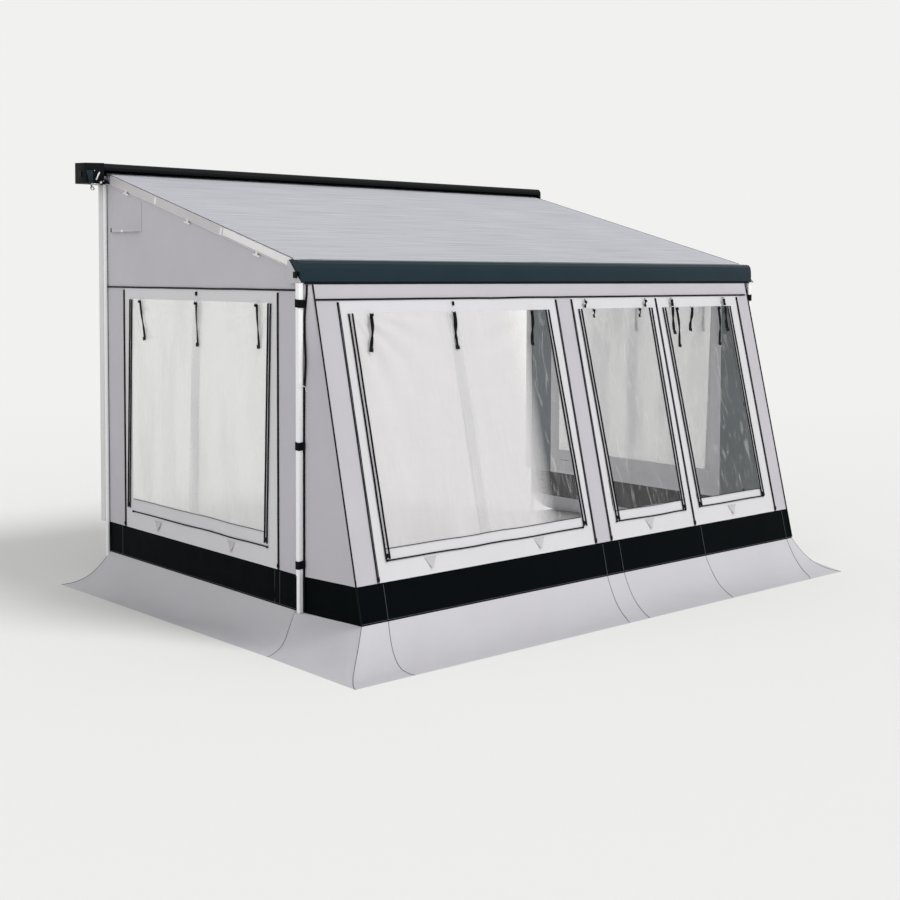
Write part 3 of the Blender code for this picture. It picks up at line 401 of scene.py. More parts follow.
class Bench:
    """Hand moves on one piece at a time. What they act on is picked by its place."""

    modelled: dict[str, bpy.types.Mesh] = {}

    @staticmethod
    def repeat(kind: str, name: str, make: Callable[[], Piece]) -> Piece:
        """A small part that many places share: modelled the first time and copied from then on.

        Args:
            kind: what it is.
            name: the copy's name.
            make: models it at the origin.

        Returns:
            A copy with its own mesh.
        """
        if kind not in Bench.modelled:
            first = make()
            Bench.modelled[kind] = first.data.copy()
            bpy.data.objects.remove(first)
        piece = bpy.data.objects.new(name, Bench.modelled[kind].copy())
        piece.data.name = name
        bpy.context.scene.collection.objects.link(piece)
        return piece

    @staticmethod
    def move(piece: Piece, by: Sequence[float]) -> Piece:
        """Moves a piece's mesh."""
        piece.data.transform(Matrix.Translation((*by, 0.0)[:3]))
        return piece

    @staticmethod
    def hold(*pieces: Piece) -> None:
        """Lets go of everything else and takes these pieces, the first of them active."""
        if bpy.context.mode != "OBJECT":
            bpy.ops.object.mode_set(mode="OBJECT")
        bpy.ops.object.select_all(action="DESELECT")
        for piece in pieces:
            piece.select_set(True)
        if pieces:
            bpy.context.view_layer.objects.active = pieces[0]

    @staticmethod
    def named(name: str) -> Piece:
        """Names the piece just added."""
        piece = bpy.context.active_object
        piece.name = piece.data.name = name
        return piece

    @staticmethod
    def settle(piece: Piece) -> Piece:
        """Puts a piece's place, turn and size into its mesh."""
        Bench.hold(piece)
        bpy.ops.object.transform_apply(location=True, rotation=True, scale=True)
        return piece

    @staticmethod
    @contextmanager
    def picked(piece: Piece, kind: str = "FACE",
               wanted: Callable[[Vector], bool] = lambda place: True) -> Iterator[None]:
        """Opens a piece for editing with only some of its parts selected, and puts it down afterwards.

        Args:
            piece: the piece.
            kind: "FACE", "EDGE" or "VERT".
            wanted: says of a place whether what lies there is wanted.
        """
        Bench.hold(piece)
        bpy.ops.object.mode_set(mode="EDIT")
        bpy.ops.mesh.select_mode(type=kind)
        bpy.ops.mesh.select_all(action="DESELECT")
        mesh = bmesh.from_edit_mesh(piece.data)
        if kind == "FACE":
            for face in mesh.faces:
                face.select_set(wanted(face.calc_center_median()))
        elif kind == "EDGE":
            for edge in mesh.edges:
                edge.select_set(wanted((edge.verts[0].co + edge.verts[1].co) / 2))
        else:
            for vert in mesh.verts:
                vert.select_set(wanted(vert.co))
        mesh.select_flush_mode()
        bmesh.update_edit_mesh(piece.data)
        yield
        bpy.ops.object.mode_set(mode="OBJECT")

    @staticmethod
    def apply(piece: Piece) -> None:
        """Applies the piece's modifiers in order."""
        Bench.hold(piece)
        for name in [step.name for step in piece.modifiers]:
            bpy.ops.object.modifier_apply(modifier=name)

    @staticmethod
    def join(name: str, pieces: Sequence[Piece]) -> Piece:
        """Makes several pieces one, under a name."""
        Bench.hold(*pieces)
        bpy.ops.object.join()
        return Bench.named(name)

    @staticmethod
    def sheet(name: str, left: float, right: float, low: float, high: float, cell: float = 0.03) -> Piece:
        """Cuts a rectangle of cloth flat and marks its pattern.

        Args:
            name: the piece's name.
            left, right, low, high: its edges on the table.
            cell: the spacing of its mesh, fine enough for its creases.

        Returns:
            The flat piece.
        """
        Bench.hold()
        columns, rows = (max(2, round(side / cell)) for side in (right - left, high - low))
        middle = ((left + right) / 2, (low + high) / 2, 0.0)
        bpy.ops.mesh.primitive_grid_add(x_subdivisions=columns, y_subdivisions=rows, size=1.0,
                                        location=middle)
        piece = Bench.named(name)
        piece.scale = (right - left, high - low, 1.0)
        return Bench.pattern(Bench.settle(piece))

    @staticmethod
    def trim(piece: Piece, point: Flat, away: Flat) -> None:
        """Cuts off what lies past a line on the table, the way that away points."""
        with Bench.picked(piece):
            bpy.ops.mesh.bisect(plane_co=(*point, 0.0), plane_no=(*away, 0.0), clear_outer=True)

    @staticmethod
    def opening(piece: Piece, corners: Sequence[Flat]) -> None:
        """Cuts an opening out of a flat piece, whose corners go round anticlockwise."""
        sides = [(Vector(a), Vector(b)) for a, b in zip(corners, [*corners[1:], corners[0]])]
        for start, end in sides:
            run = end - start
            with Bench.picked(piece):
                bpy.ops.mesh.bisect(plane_co=(*start, 0.0), plane_no=(run.y, -run.x, 0.0))
        with Bench.picked(piece, "FACE", lambda place: all(
                (end - start).cross(place.to_2d() - start) > 0 for start, end in sides)):
            bpy.ops.mesh.delete(type="FACE")

    @staticmethod
    def shape(piece: Piece, place: Callable[[float, float], Vector]) -> None:
        """Bends a flat piece, by the place that each part of it goes to."""
        for vert in piece.data.vertices:
            vert.co = place(vert.co.x, vert.co.y)

    @staticmethod
    def pattern(piece: Piece) -> Piece:
        """Marks a piece with its own metres, which its weave follows."""
        layers = piece.data.uv_layers
        layer = layers.get(CUT_MAP) or layers.new(name=CUT_MAP)
        for loop in piece.data.loops:
            layer.data[loop.index].uv = piece.data.vertices[loop.vertex_index].co.xy
        for other in [item for item in layers if item.name != CUT_MAP]:
            layers.remove(other)
        return piece

    @staticmethod
    def crease(piece: Piece, relief: Callable[[float, float], float]) -> None:
        """Works folds into a flat piece, by how far it stands out at each place."""
        for vert in piece.data.vertices:
            vert.co.z += relief(vert.co.x, vert.co.y)

    @staticmethod
    def thicken(piece: Piece, thickness: float) -> None:
        """Gives a sheet its thickness, inwards from its face."""
        wall = piece.modifiers.new("wall", "SOLIDIFY")
        wall.thickness = thickness
        wall.offset = -1.0
        Bench.apply(piece)

    @staticmethod
    def coat(piece: Piece, surface: Surface) -> Piece:
        """Gives a piece a finish."""
        piece.data.materials.append(surface.material)
        return piece

    @staticmethod
    def line(piece: Piece, surface: Surface, out: Vector) -> None:
        """Gives a thickened cloth its finish, and grey canvas its coated back, darkened as painted shade,
        where it faces inwards.
        """
        Bench.coat(piece, surface)
        if surface is Surface.GREY_CANVAS:
            # The inward faces take the back's darker grey, painted shade for the inside of the room.
            Bench.coat(piece, Surface.CANVAS_BACK)
            for face in piece.data.polygons:
                face.material_index = int(face.normal.dot(out) < -0.5)

    @staticmethod
    def hang(piece: Piece, table: Table, lift: float = 0.0) -> Piece:
        """Takes a piece from the table to its place in the room, this far out of the wall's face."""
        piece.matrix_world = table.matrix() @ Matrix.Translation((0.0, 0.0, lift)) @ piece.matrix_world
        return Bench.settle(piece)

    @staticmethod
    def smooth(piece: Piece, angle: float = 35.0) -> Piece:
        """Shades a piece smooth, but for its sharp edges."""
        Bench.hold(piece)
        bpy.ops.object.shade_smooth_by_angle(angle=math.radians(angle))
        return piece

    @staticmethod
    def cord(name: str, points: Iterable[Sequence[float]], radius: float, resolution: int = 1) -> Piece:
        """Runs a round cord along points.

        Args:
            name: the piece's name.
            points: the places along its middle.
            radius: half its thickness.
            resolution: how round it is.

        Returns:
            The cord as a closed mesh.
        """
        Bench.hold()
        bpy.ops.curve.primitive_nurbs_path_add()
        path = bpy.context.active_object
        path.data.splines.clear()
        places = [Vector((*point, 0.0)[:3]) for point in points]
        line = path.data.splines.new("POLY")
        line.points.add(len(places) - 1)
        for knot, place in zip(line.points, places):
            knot.co = (*place, 1.0)
        path.data.bevel_depth = radius
        path.data.bevel_resolution = resolution
        path.data.use_fill_caps = True
        bpy.ops.object.convert(target="MESH")
        return Bench.pattern(Bench.named(name))

    @staticmethod
    def block(name: str, low: Sequence[float], high: Sequence[float], edge: float,
              rise: float = 0.0) -> Piece:
        """A moulded block: its edges rounded, and its top face stepped up if asked.

        Args:
            name: the piece's name.
            low, high: its lowest and highest corners.
            edge: the rounding of its edges.
            rise: the height of a step on its top face.

        Returns:
            The block.
        """
        Bench.hold()
        middle = [(a + b) / 2 for a, b in zip(low, high)]
        bpy.ops.mesh.primitive_cube_add(size=1.0, location=middle)
        piece = Bench.named(name)
        piece.scale = [b - a for a, b in zip(low, high)]
        Bench.settle(piece)
        if rise:
            with Bench.picked(piece, "FACE", lambda place: place.z > high[2] - 1e-6):
                bpy.ops.mesh.inset(thickness=2 * edge)
                bpy.ops.mesh.extrude_region_move(TRANSFORM_OT_translate={"value": (0.0, 0.0, rise)})
        with Bench.picked(piece, "EDGE"):
            bpy.ops.mesh.bevel(offset=edge, segments=2, affect="EDGES")
        return Bench.smooth(Bench.pattern(piece))

    @staticmethod
    def knob(name: str, middle: Sequence[float], size: Sequence[float]) -> Piece:
        """A rounded toggle with a waist, as its cord has pressed into it."""
        Bench.hold()
        bpy.ops.mesh.primitive_uv_sphere_add(segments=12, ring_count=8, radius=0.5, location=middle)
        piece = Bench.named(name)
        piece.scale = size
        Bench.settle(piece)
        with Bench.picked(piece, "VERT", lambda place: abs(place.y - middle[1]) < size[1] * 0.12):
            bpy.ops.transform.resize(value=(0.72, 1.0, 0.8), center_override=middle)
        return Bench.smooth(Bench.pattern(piece), 60.0)

    @staticmethod
    def turn_flat(piece: Piece, angle: float, to: Flat) -> Piece:
        """Turns a piece on the table about the origin, then moves it to a place."""
        turn = Matrix.Translation((*to, 0.0)) @ Matrix.Rotation(angle, 4, "Z")
        piece.matrix_world = turn @ piece.matrix_world
        return Bench.settle(piece)

    @staticmethod
    def mirrored(piece: Piece, name: str) -> Piece:
        """A copy of a piece on the other side of the room, with its faces the right way round."""
        copy = piece.copy()
        copy.data = piece.data.copy()
        copy.name = copy.data.name = name
        bpy.context.scene.collection.objects.link(copy)
        for key in [key for key in copy.keys() if key.startswith("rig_")]:
            del copy[key]
        copy.parent = None
        copy.matrix_world = Matrix.Identity(4)
        copy.data.transform(Matrix.Scale(-1.0, 4, (1.0, 0.0, 0.0)))
        copy.data.flip_normals()
        return copy


def finish_piece(piece: Piece, surface: Surface, body: str = ROOT, *nodes: str) -> Piece:
    """Gives a piece its material and its body, and says which solids it stands for.

    Args:
        piece: the piece, in its place.
        surface: its finish.
        body: the body that it moves with.
        nodes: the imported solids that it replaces.

    Returns:
        The piece.
    """
    if not piece.data.materials:
        Bench.coat(piece, surface)
    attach(piece, body)
    if nodes:
        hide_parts(*nodes)
    Twin.made[piece.name] = Twin(surface, body, nodes)
    log.info("%s: %d faces on %s", piece.name, len(piece.data.polygons), body)
    return piece


def sew(piece: Piece, surface: Surface, flat: Flat, rests_on: Sequence[str], *nodes: str, body: str = ROOT,
        held: str = "hung", area: float | None = None, trims: Sequence[Piece] = (),
        thickness: float = CANVAS, out: Vector | None = None, table: Table | None = None,
        lift: float = 0.0, angle: float = 50.0) -> Piece:
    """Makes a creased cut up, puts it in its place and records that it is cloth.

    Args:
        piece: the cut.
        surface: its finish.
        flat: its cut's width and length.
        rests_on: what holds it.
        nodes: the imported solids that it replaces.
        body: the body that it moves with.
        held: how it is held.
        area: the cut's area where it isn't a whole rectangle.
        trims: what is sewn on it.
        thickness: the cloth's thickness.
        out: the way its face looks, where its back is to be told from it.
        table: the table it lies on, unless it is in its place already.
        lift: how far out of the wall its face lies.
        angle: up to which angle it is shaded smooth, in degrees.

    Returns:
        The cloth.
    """
    Bench.thicken(piece, thickness)
    if out is not None:
        Bench.line(piece, surface, out)
    if table:
        Bench.hang(piece, table, lift)
    finish_piece(Bench.smooth(piece, angle), surface, body, *nodes)
    names = [trim.name for trim in trims]
    facts = {"flat": flat, "held": held, "rests_on": list(rests_on), "area": area, "with_pieces": names}
    Twin.made[piece.name].cloth = facts
    return piece


@dataclass
class Twin:
    """What was recorded of a piece, so that its twin across the room can be given the same finish, body and
    solids.
    """

    surface: Surface
    body: str
    nodes: tuple[str, ...]
    cloth: dict | None = None
    padded: bool = False
    made: ClassVar[dict[str, "Twin"]] = {}

    @staticmethod
    def across(text: str) -> str:
        """The name of the same thing on the right."""
        return text.replace("left", "right")

    @classmethod
    def make_all(cls) -> None:
        """Makes the right-hand twin of every piece named left."""
        lefts = [name for name in cls.made if name.endswith("_left")]
        for name in lefts:
            told = cls.made[name]
            piece = Bench.mirrored(bpy.data.objects[name], cls.across(name))
            finish_piece(piece, told.surface, cls.across(told.body), *map(cls.across, told.nodes))
        for name in lefts:
            piece, told = bpy.data.objects[cls.across(name)], cls.made[name]
            if told.cloth:
                names = {key: [cls.across(other) for other in told.cloth[key]]
                         for key in ("rests_on", "with_pieces")}
        log.info("%d pieces mirrored to the right", len(lefts))


@dataclass(frozen=True)
class Slack:
    """How a hung sheet departs from flat: a slow billow, fine wrinkles and pulls from its top corners.

    Within the margin of its edges it is held ever closer to flat.
    """

    area: Edges
    billow: float
    wrinkle: float
    seed: float
    margin: float
    pull: float = 0.0

    def hold(self, u: float, v: float) -> float:
        """How free the cloth is at a place, from 0 at a sewn edge to 1."""
        left, right, low, high = self.area
        share = clamp(min(u - left, right - u, v - low, high - v) / self.margin)
        return share * share * (3 - 2 * share)

    def fan(self, u: float, v: float, corner: float) -> float:
        """Creases that fan out from a top corner and die away."""
        run = Vector((u - corner, v - self.area.high - 0.05))
        angle = math.atan2(run.y, run.x)
        return hump(run.length - 0.25, 0.45) * math.sin(angle * 17.0 + 2.5 * wave(u * 2, v * 2, self.seed))

    def at(self, u: float, v: float) -> float:
        """How far the cloth stands out at a place."""
        out = self.billow * wave(u * 1.1, v * 0.8, self.seed)
        out += self.wrinkle * wave(u * 7.0, v * 2.2, self.seed + 9.0)
        if self.pull:
            out += self.pull * (self.fan(u, v, self.area.left) + self.fan(u, v, self.area.right))
        return out * self.hold(u, v)


# The room's measures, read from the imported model


@dataclass(frozen=True)
class Room:
    """The tent's main lines: planes, heights and setbacks."""

    vehicle: float
    wall: float
    front: float
    rear_setback: float
    seam_setback: float
    rail_setback: float
    foot_setback: float
    skirt_top: float
    band_top: float
    panel_top: float
    rail_bottom: float
    rail_rear: float
    gable_rear: float
    gable_level: float
    lean: float
    pitch: float

    @classmethod
    def measured(cls) -> "Room":
        """Reads the lines from the solids."""
        band, wall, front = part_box("side_band_left"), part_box("side_wall_left"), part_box("front_band")
        rail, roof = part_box("lead_rail"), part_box("roof_cloth")
        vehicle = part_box("cassette_shell")[1].y
        roof_thickness = 3 * MM
        solid = frame["nodes"]["side_wall_left"]
        places = [solid.matrix_world @ vert.co for vert in solid.data.vertices]
        return cls(
            vehicle=vehicle,
            wall=-wall[0].x,
            front=front[1].x,
            rear_setback=vehicle - wall[1].y,
            seam_setback=vehicle - wall[0].y,
            rail_setback=vehicle - rail[0].y,
            foot_setback=vehicle - front[0].y,
            skirt_top=band[0].z,
            band_top=wall[0].z,
            panel_top=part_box("side_panel_left")[1].z,
            rail_bottom=rail[0].z,
            rail_rear=vehicle - rail[1].y,
            gable_rear=wall[1].z,
            gable_level=vehicle - min(place.y for place in places if place.z > wall[1].z - MM),
            lean=math.atan2(rail[0].y - front[0].y, rail[0].z - band[0].z),
            pitch=math.atan2(roof[1].z - roof[0].z - roof_thickness, roof[1].y - roof[0].y),
        )

    def spot(self, x: float, setback: float, z: float) -> Vector:
        """A place in the room."""
        return Vector((x, self.vehicle - setback, z))

    def side_table(self, x: float) -> Table:
        """A table in a plane beside the room: across it is the setback, and up it the height."""
        return Table(self.spot(x, 0.0, 0.0), Vector((0, -1, 0)), Vector((0, 0, 1)))

    def front_table(self) -> Table:
        """The sloping front's table, measured up from the top of the skirt."""
        foot = self.spot(0.0, self.foot_setback, self.skirt_top)
        return Table(foot, Vector((1, 0, 0)), Vector((0, math.sin(self.lean), math.cos(self.lean))))

    def up_front(self, z: float) -> float:
        """How far up the sloping front a height lies."""
        return (z - self.skirt_top) / math.cos(self.lean)

    def edges(self, node: str, front: bool) -> Edges:
        """A solid's rectangle on its own table."""
        low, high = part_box(node)
        if front:
            return Edges(low.x, high.x, self.up_front(low.z), self.up_front(high.z))
        return Edges(self.vehicle - high.y, self.vehicle - low.y, low.z, high.z)


# Trim that several walls share


@dataclass(frozen=True)
class Zip:
    """A coil zip: its tape, the two welts that cover it, its coil and its slider."""

    tape: float
    cloth: Surface
    welt: float = 0.0060
    pitch: float = 0.012
    tooth: float = 0.0026

    def make(self, name: str, start: Flat, end: Flat, slider: float) -> Piece:
        """Makes a zip flat on a table.

        Args:
            name: the piece's name.
            start, end: where it runs on the table.
            slider: how far from its start the slider stands.

        Returns:
            The zip as one piece.
        """
        run = Vector(end) - Vector(start)
        half = self.tape / 2
        tape = Bench.sheet(name + "_tape", -half, half, 0.0, run.length, 0.05)
        Bench.crease(tape, lambda u, v: 0.0006 * wave(u * 30, v * 9, start[0]))
        Bench.thicken(tape, TAPE)
        parts = [Bench.coat(tape, self.cloth)]
        steps = max(4, round(run.length / 0.12))
        for side in (-1, 1):
            sway = [side * (half - self.welt) + 0.0008 * math.sin(step * 1.9 + side)
                    for step in range(steps + 1)]
            line = [(u, run.length * step / steps, self.welt * 0.6) for step, u in enumerate(sway)]
            parts.append(Bench.coat(Bench.cord(name + "_welt", line, self.welt), Surface.PIPING))
        tooth = Bench.repeat("tooth", name + "_tooth", lambda: Bench.block(
            "tooth", (-self.tooth, 0.0, 0.0), (self.tooth, self.pitch / 2, 0.0028), 0.0006))
        row = tooth.modifiers.new("row", "ARRAY")
        row.use_relative_offset = False
        row.use_constant_offset = True
        row.constant_offset_displace = (0.0, self.pitch, 0.0)
        row.count = int(run.length / self.pitch)
        Bench.apply(tooth)
        slide = Bench.repeat("slider", name + "_slider", lambda: Bench.block(
            "slider", (-0.009, 0.0, 0.001), (0.009, 0.026, 0.008), 0.0015, 0.003))
        Bench.move(slide, (0.0, slider))
        parts += [Bench.coat(tooth, Surface.COIL), Bench.coat(slide, Surface.MOULDING)]
        return Bench.turn_flat(Bench.join(name, parts), math.atan2(-run.x, run.y), start)


def make_strap(name: str, width: float, top: Flat, end: Flat, twist: float) -> Piece:
    """A roll-up strap, flat on a table: a toggle, and webbing that hangs from it with a looped end.

    Args:
        name: the piece's name.
        width: the webbing's width.
        top, end: where it hangs.
        twist: how far its edge turns out of the wall, which differs from strap to strap.

    Returns:
        The strap as one piece.
    """
    run = Vector(end) - Vector(top)
    length, half = run.length, width / 2
    web = Bench.sheet(name + "_web", -half, half, -length, 0.0, 0.006)
    for vert in web.data.vertices:
        fall = -vert.co.y / length
        vert.co.x *= 1.0 - 0.45 * hump(fall - 0.55, 0.12)
        turned = vert.co.x * 0.5 * math.sin(fall * 3.1) * twist
        vert.co.z += 0.006 + 0.004 * math.sin(fall * 5.0 + twist) + turned
        vert.co.x += 0.006 * math.sin(fall * 4.0 + twist * 3)
    Bench.thicken(web, 0.0018)
    knob = Bench.repeat("toggle", name + "_knob", lambda: Bench.knob(
        "toggle", (0.0, -0.004, 0.013), (0.034, 0.020, 0.018)))
    tip = Bench.repeat(f"tip_{width}", name + "_tip", lambda: Bench.block(
        "tip", (-half * 1.15, -0.004, 0.001), (half * 1.15, 0.022, 0.009), 0.0018))
    Bench.move(tip, (0.006 * math.sin(4.0 + twist * 3), -length))
    loop = [(half * 0.7, -0.004, 0.012), (half * 1.2, 0.012, 0.006), (0.0, 0.020, 0.002),
            (-half * 1.2, 0.012, 0.006), (-half * 0.7, -0.004, 0.012)]
    parts = [Bench.coat(web, Surface.WEBBING), Bench.coat(knob, Surface.MOULDING),
             Bench.coat(tip, Surface.MOULDING),
             Bench.coat(Bench.cord(name + "_loop", loop, 0.0022), Surface.PIPING)]
    return Bench.turn_flat(Bench.join(name, parts), math.atan2(run.x, -run.y), top)


def make_tab(size: float = 0.10) -> Piece:
    """A small pull flap, whose point stands off the wall."""
    flap = Bench.sheet("tab", -size / 2, size / 2, -size * 0.75, 0.0, 0.008)
    for side in (1, -1):
        Bench.trim(flap, (side * size / 2, 0.0), (side * 0.80, -0.53))
    Bench.crease(flap, lambda u, v: 0.003 + 0.022 * (v / size) ** 2 + 0.004 * math.sin(u * 60) * -v / size)
    Bench.thicken(flap, CANVAS)
    return Bench.smooth(flap)


def make_hook() -> Piece:
    """A small hook at the top of a panel, which a rolled-up pane's cord goes round."""
    return Bench.block("hook", (-0.007, -0.028, 0.002), (0.007, 0.0, 0.012), 0.002, 0.004)


def make_knot() -> Piece:
    """The knot at an end of a pane's foot piping."""
    return Bench.knob("knot", (0.0, 0.0, 0.008), (0.020, 0.016, 0.014))


def add_line(name: str, points: Sequence[Sequence[float]], radius: float, surface: Surface,
             table: Table | None = None, lift: float = 0.0, body: str = ROOT) -> Piece:
    """Runs a round line, such as piping or a seam's thread.

    Args:
        name: the piece's name.
        points: where it runs, on the table if there is one and otherwise in the room.
        radius: half its thickness.
        surface: its finish.
        table: the wall's table.
        lift: how far its middle stands out of the wall.
        body: the body it moves with.

    Returns:
        The line.
    """
    cord = Bench.cord(name, points, radius, 2 if table else 1)
    if table:
        Bench.hang(cord, table, lift)
    return finish_piece(cord, surface, body)


def between(start: Flat, end: Flat, step: float, sway: float, seed: float) -> list[Flat]:
    """Places along a sewn line that wanders a little, as a machine seam does.

    Args:
        start, end: its ends on the table.
        step: the spacing of the places.
        sway: how far it wanders.
        seed: which wander.

    Returns:
        The places.
    """
    run = Vector(end) - Vector(start)
    count = max(2, round(run.length / step))
    side = Vector((-run.y, run.x)).normalized()
    places = []
    for number in range(count + 1):
        share = number / count
        offset = sway * wave(share * run.length * 3.0, seed, 0.0) * math.sin(math.pi * share)
        places.append(tuple(Vector(start) + run * share + side * offset))
    return places


def add_piping(name: str, left: float, right: float, height: float, seed: float, table: Table) -> Piece:
    """The thick piping over a wall's panels."""
    line = between((left, height), (right, height), 0.15, 0.003, seed)
    return add_line(name, line, PIPING_RADIUS, Surface.PIPING, table, 0.003)


def add_cloth(name: str, slack: Slack, table: Table, surface: Surface, hangs_from: str, *nodes: str,
              body: str = ROOT, trims: Sequence[Piece] = (), cell: float = 0.03,
              thickness: float = CANVAS) -> Piece:
    """Cuts, creases and hangs a rectangle of cloth.

    Args:
        name: the piece's name.
        slack: its edges on the table, and how it hangs.
        table: the wall's table.
        surface: its finish.
        hangs_from: what holds it.
        nodes: the solids it stands for.
        body: the body it moves with.
        trims: what is sewn on it.
        cell: the spacing of its mesh.
        thickness: the cloth's thickness.

    Returns:
        The cloth.
    """
    area = slack.area
    piece = Bench.sheet(name, *area, cell)
    Bench.crease(piece, slack.at)
    return sew(piece, surface, (area.right - area.left, area.high - area.low), [hangs_from], *nodes,
               body=body, trims=trims, thickness=thickness, out=OUT, table=table)


def add_band(name: str, seam_name: str, hem_name: str, slack: Slack, seams: Sequence[float], foot: float,
             hem_seed: float, table: Table, hangs_from: str, node: str) -> None:
    """The black band under a wall, with its cross seams and its hem's thread.

    Args:
        name, seam_name, hem_name: the pieces' names. The seams' name has a place for their number.
        slack: its edges on the table, and how it hangs.
        seams: where its cross seams run.
        foot: how far above its edge they start.
        hem_seed: how the hem's thread wanders.
        table: the wall's table.
        hangs_from: what holds it.
        node: the solid it stands for.
    """
    left, right, low, high = slack.area
    trims = [add_line(seam_name.format(number + 1), [(u, low + foot), (u, high - 0.01)], SEAM_RADIUS,
                      Surface.THREAD, table, 0.0012) for number, u in enumerate(seams)]
    hem = between((left, low + 0.010), (right, low + 0.010), 0.2, 0.003, hem_seed)
    trims.append(add_line(hem_name, hem, HEM_RADIUS, Surface.THREAD, table, 0.0008))
    add_cloth(name, slack, table, Surface.BLACK_CANVAS, hangs_from, node, trims=trims, cell=0.025)


# The stage


@dataclass(frozen=True)
class Stage:
    """Where the tent is seen from, and the plain light that it stands in."""

    stand: tuple[float, float, float] = (-7.1614, -7.8531, 2.2967)
    yaw: float = 0.7206
    pitch: float = -0.0482
    roll: float = 0.0031
    lens: float = 55.506
    shift: Flat = (-0.005256, -0.11996)
    pale: str = "F1F1EF"
    sky_strength: float = 0.6

    def build(self) -> None:
        """Sets up camera, lamps, world and floor."""
        self.set_camera()
        self.set_lamp("key", (2.2, -4.0, 5.2), 1.45, 20.0)
        self.set_lamp("fill", (-6.0, -2.0, 3.0), 0.2, 60.0)
        self.set_world()
        self.lay_floor()
        bpy.context.scene.view_settings.view_transform = "Standard"
        log.info("stage set")

    def set_camera(self) -> None:
        """Stands the camera where the photograph was taken from."""
        Bench.hold()
        bpy.ops.object.camera_add()
        camera = bpy.context.active_object
        level = math.cos(self.pitch)
        forward = Vector((math.sin(self.yaw) * level, math.cos(self.yaw) * level, math.sin(self.pitch)))
        right = Vector((math.cos(self.yaw), -math.sin(self.yaw), 0.0))
        up = right.cross(forward)
        across = right * math.cos(self.roll) + up * math.sin(self.roll)
        upright = up * math.cos(self.roll) - right * math.sin(self.roll)
        turn = Matrix((across, upright, -forward)).transposed().to_4x4()
        camera.matrix_world = Matrix.Translation(self.stand) @ turn
        camera.data.lens = self.lens
        camera.data.shift_x, camera.data.shift_y = self.shift
        camera.data.clip_end = 400.0
        bpy.context.scene.camera = camera

    @staticmethod
    def set_lamp(name: str, source: tuple[float, float, float], strength: float, spread: float) -> None:
        """A soft sun, which shines from its source to the origin."""
        Bench.hold()
        bpy.ops.object.light_add(type="SUN", location=source)
        lamp = bpy.context.active_object
        lamp.name = name
        lamp.rotation_euler = Vector(source).to_track_quat("Z", "Y").to_euler()
        lamp.data.energy = strength
        lamp.data.angle = math.radians(spread)

    @staticmethod
    def shown(tree: Tree) -> Socket:
        """1 on the rays that carry a picture: straight ones, mirrored ones and ones through glass."""
        rays = add_node(tree, "LightPath").node.outputs
        seen = {0: rays["Is Camera Ray"], 1: rays["Is Glossy Ray"]}
        carried = {0: add_node(tree, "Math", seen, operation="ADD"), 1: rays["Is Transmission Ray"]}
        return add_node(tree, "Math", carried, operation="ADD", use_clamp=True)

    def set_world(self) -> None:
        """An even sky, shown as the pale backdrop."""
        world = bpy.data.worlds.new("even sky")
        bpy.context.scene.world = world
        world.use_nodes = True
        tree = world.node_tree
        tree.nodes.clear()
        sky = add_node(tree, "Background", {"Color": srgb("FFFFFF"), "Strength": self.sky_strength})
        backdrop = add_node(tree, "Background", {"Color": srgb(self.pale), "Strength": 1.0})
        mix = add_node(tree, "MixShader", {0: self.shown(tree), 1: sky, 2: backdrop})
        add_node(tree, "OutputWorld", {"Surface": mix})

    def lay_floor(self) -> None:
        """A pale floor that keeps the shadow and fades into the backdrop far out."""
        Bench.hold()
        bpy.ops.mesh.primitive_circle_add(vertices=96, radius=120.0, fill_type="NGON")
        floor = Bench.named("floor")
        material = bpy.data.materials.new("pale screed floor")
        material.use_nodes = True
        tree = material.node_tree
        tree.nodes.clear()
        matt = add_node(tree, "BsdfDiffuse", {"Color": srgb(self.pale)})
        glow = add_node(tree, "Emission", {"Color": srgb(self.pale), "Strength": 1.0})
        place = add_node(tree, "TexCoord", out="Object")
        reach = add_node(tree, "VectorMath", {0: place}, "Value", operation="LENGTH")
        far = add_node(tree, "MapRange", {"Value": reach, "From Min": 5.0, "From Max": 16.0})
        share = add_node(tree, "Math", {0: far, 1: self.shown(tree)}, operation="MULTIPLY")
        mix = add_node(tree, "MixShader", {0: share, 1: matt, 2: glow})
        add_node(tree, "OutputMaterial", {"Surface": mix})
        floor.data.materials.append(material)


# The awning


class Hardware:
    """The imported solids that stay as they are, in better materials."""

    FINISHES = {
        Surface.ANTHRACITE: ("cassette",),
        Surface.SLATE: ("lead_rail", "rail_cap"),
        Surface.MOULDING: ("winding_gear", "roller_bearing", "leg_lever"),
        Surface.ZINC: ("winding_eye", "roller_tube", "elbow_pin"),
        # The outer bars' white is greyed as painted shade; the inner rafters keep it bright.
        Surface.WHITE_BAR: ("shoulder_bracket", "wrist_bracket", "upper_arm", "forearm", "rafter_outer"),
        Surface.WHITE_INNER: ("rafter_inner",),
        Surface.WHITE_UPRIGHT: ("leg", "rear_pole"),
    }

    def dress(self) -> None:
        """Gives each solid that stays its finish, the first whose names fit."""
        for name, node in frame["nodes"].items():
            for surface, starts in self.FINISHES.items():
                if name.startswith(starts):
                    for number in range(len(node.data.materials)):
                        node.data.materials[number] = surface.material
                    break
        log.info("solids dressed")


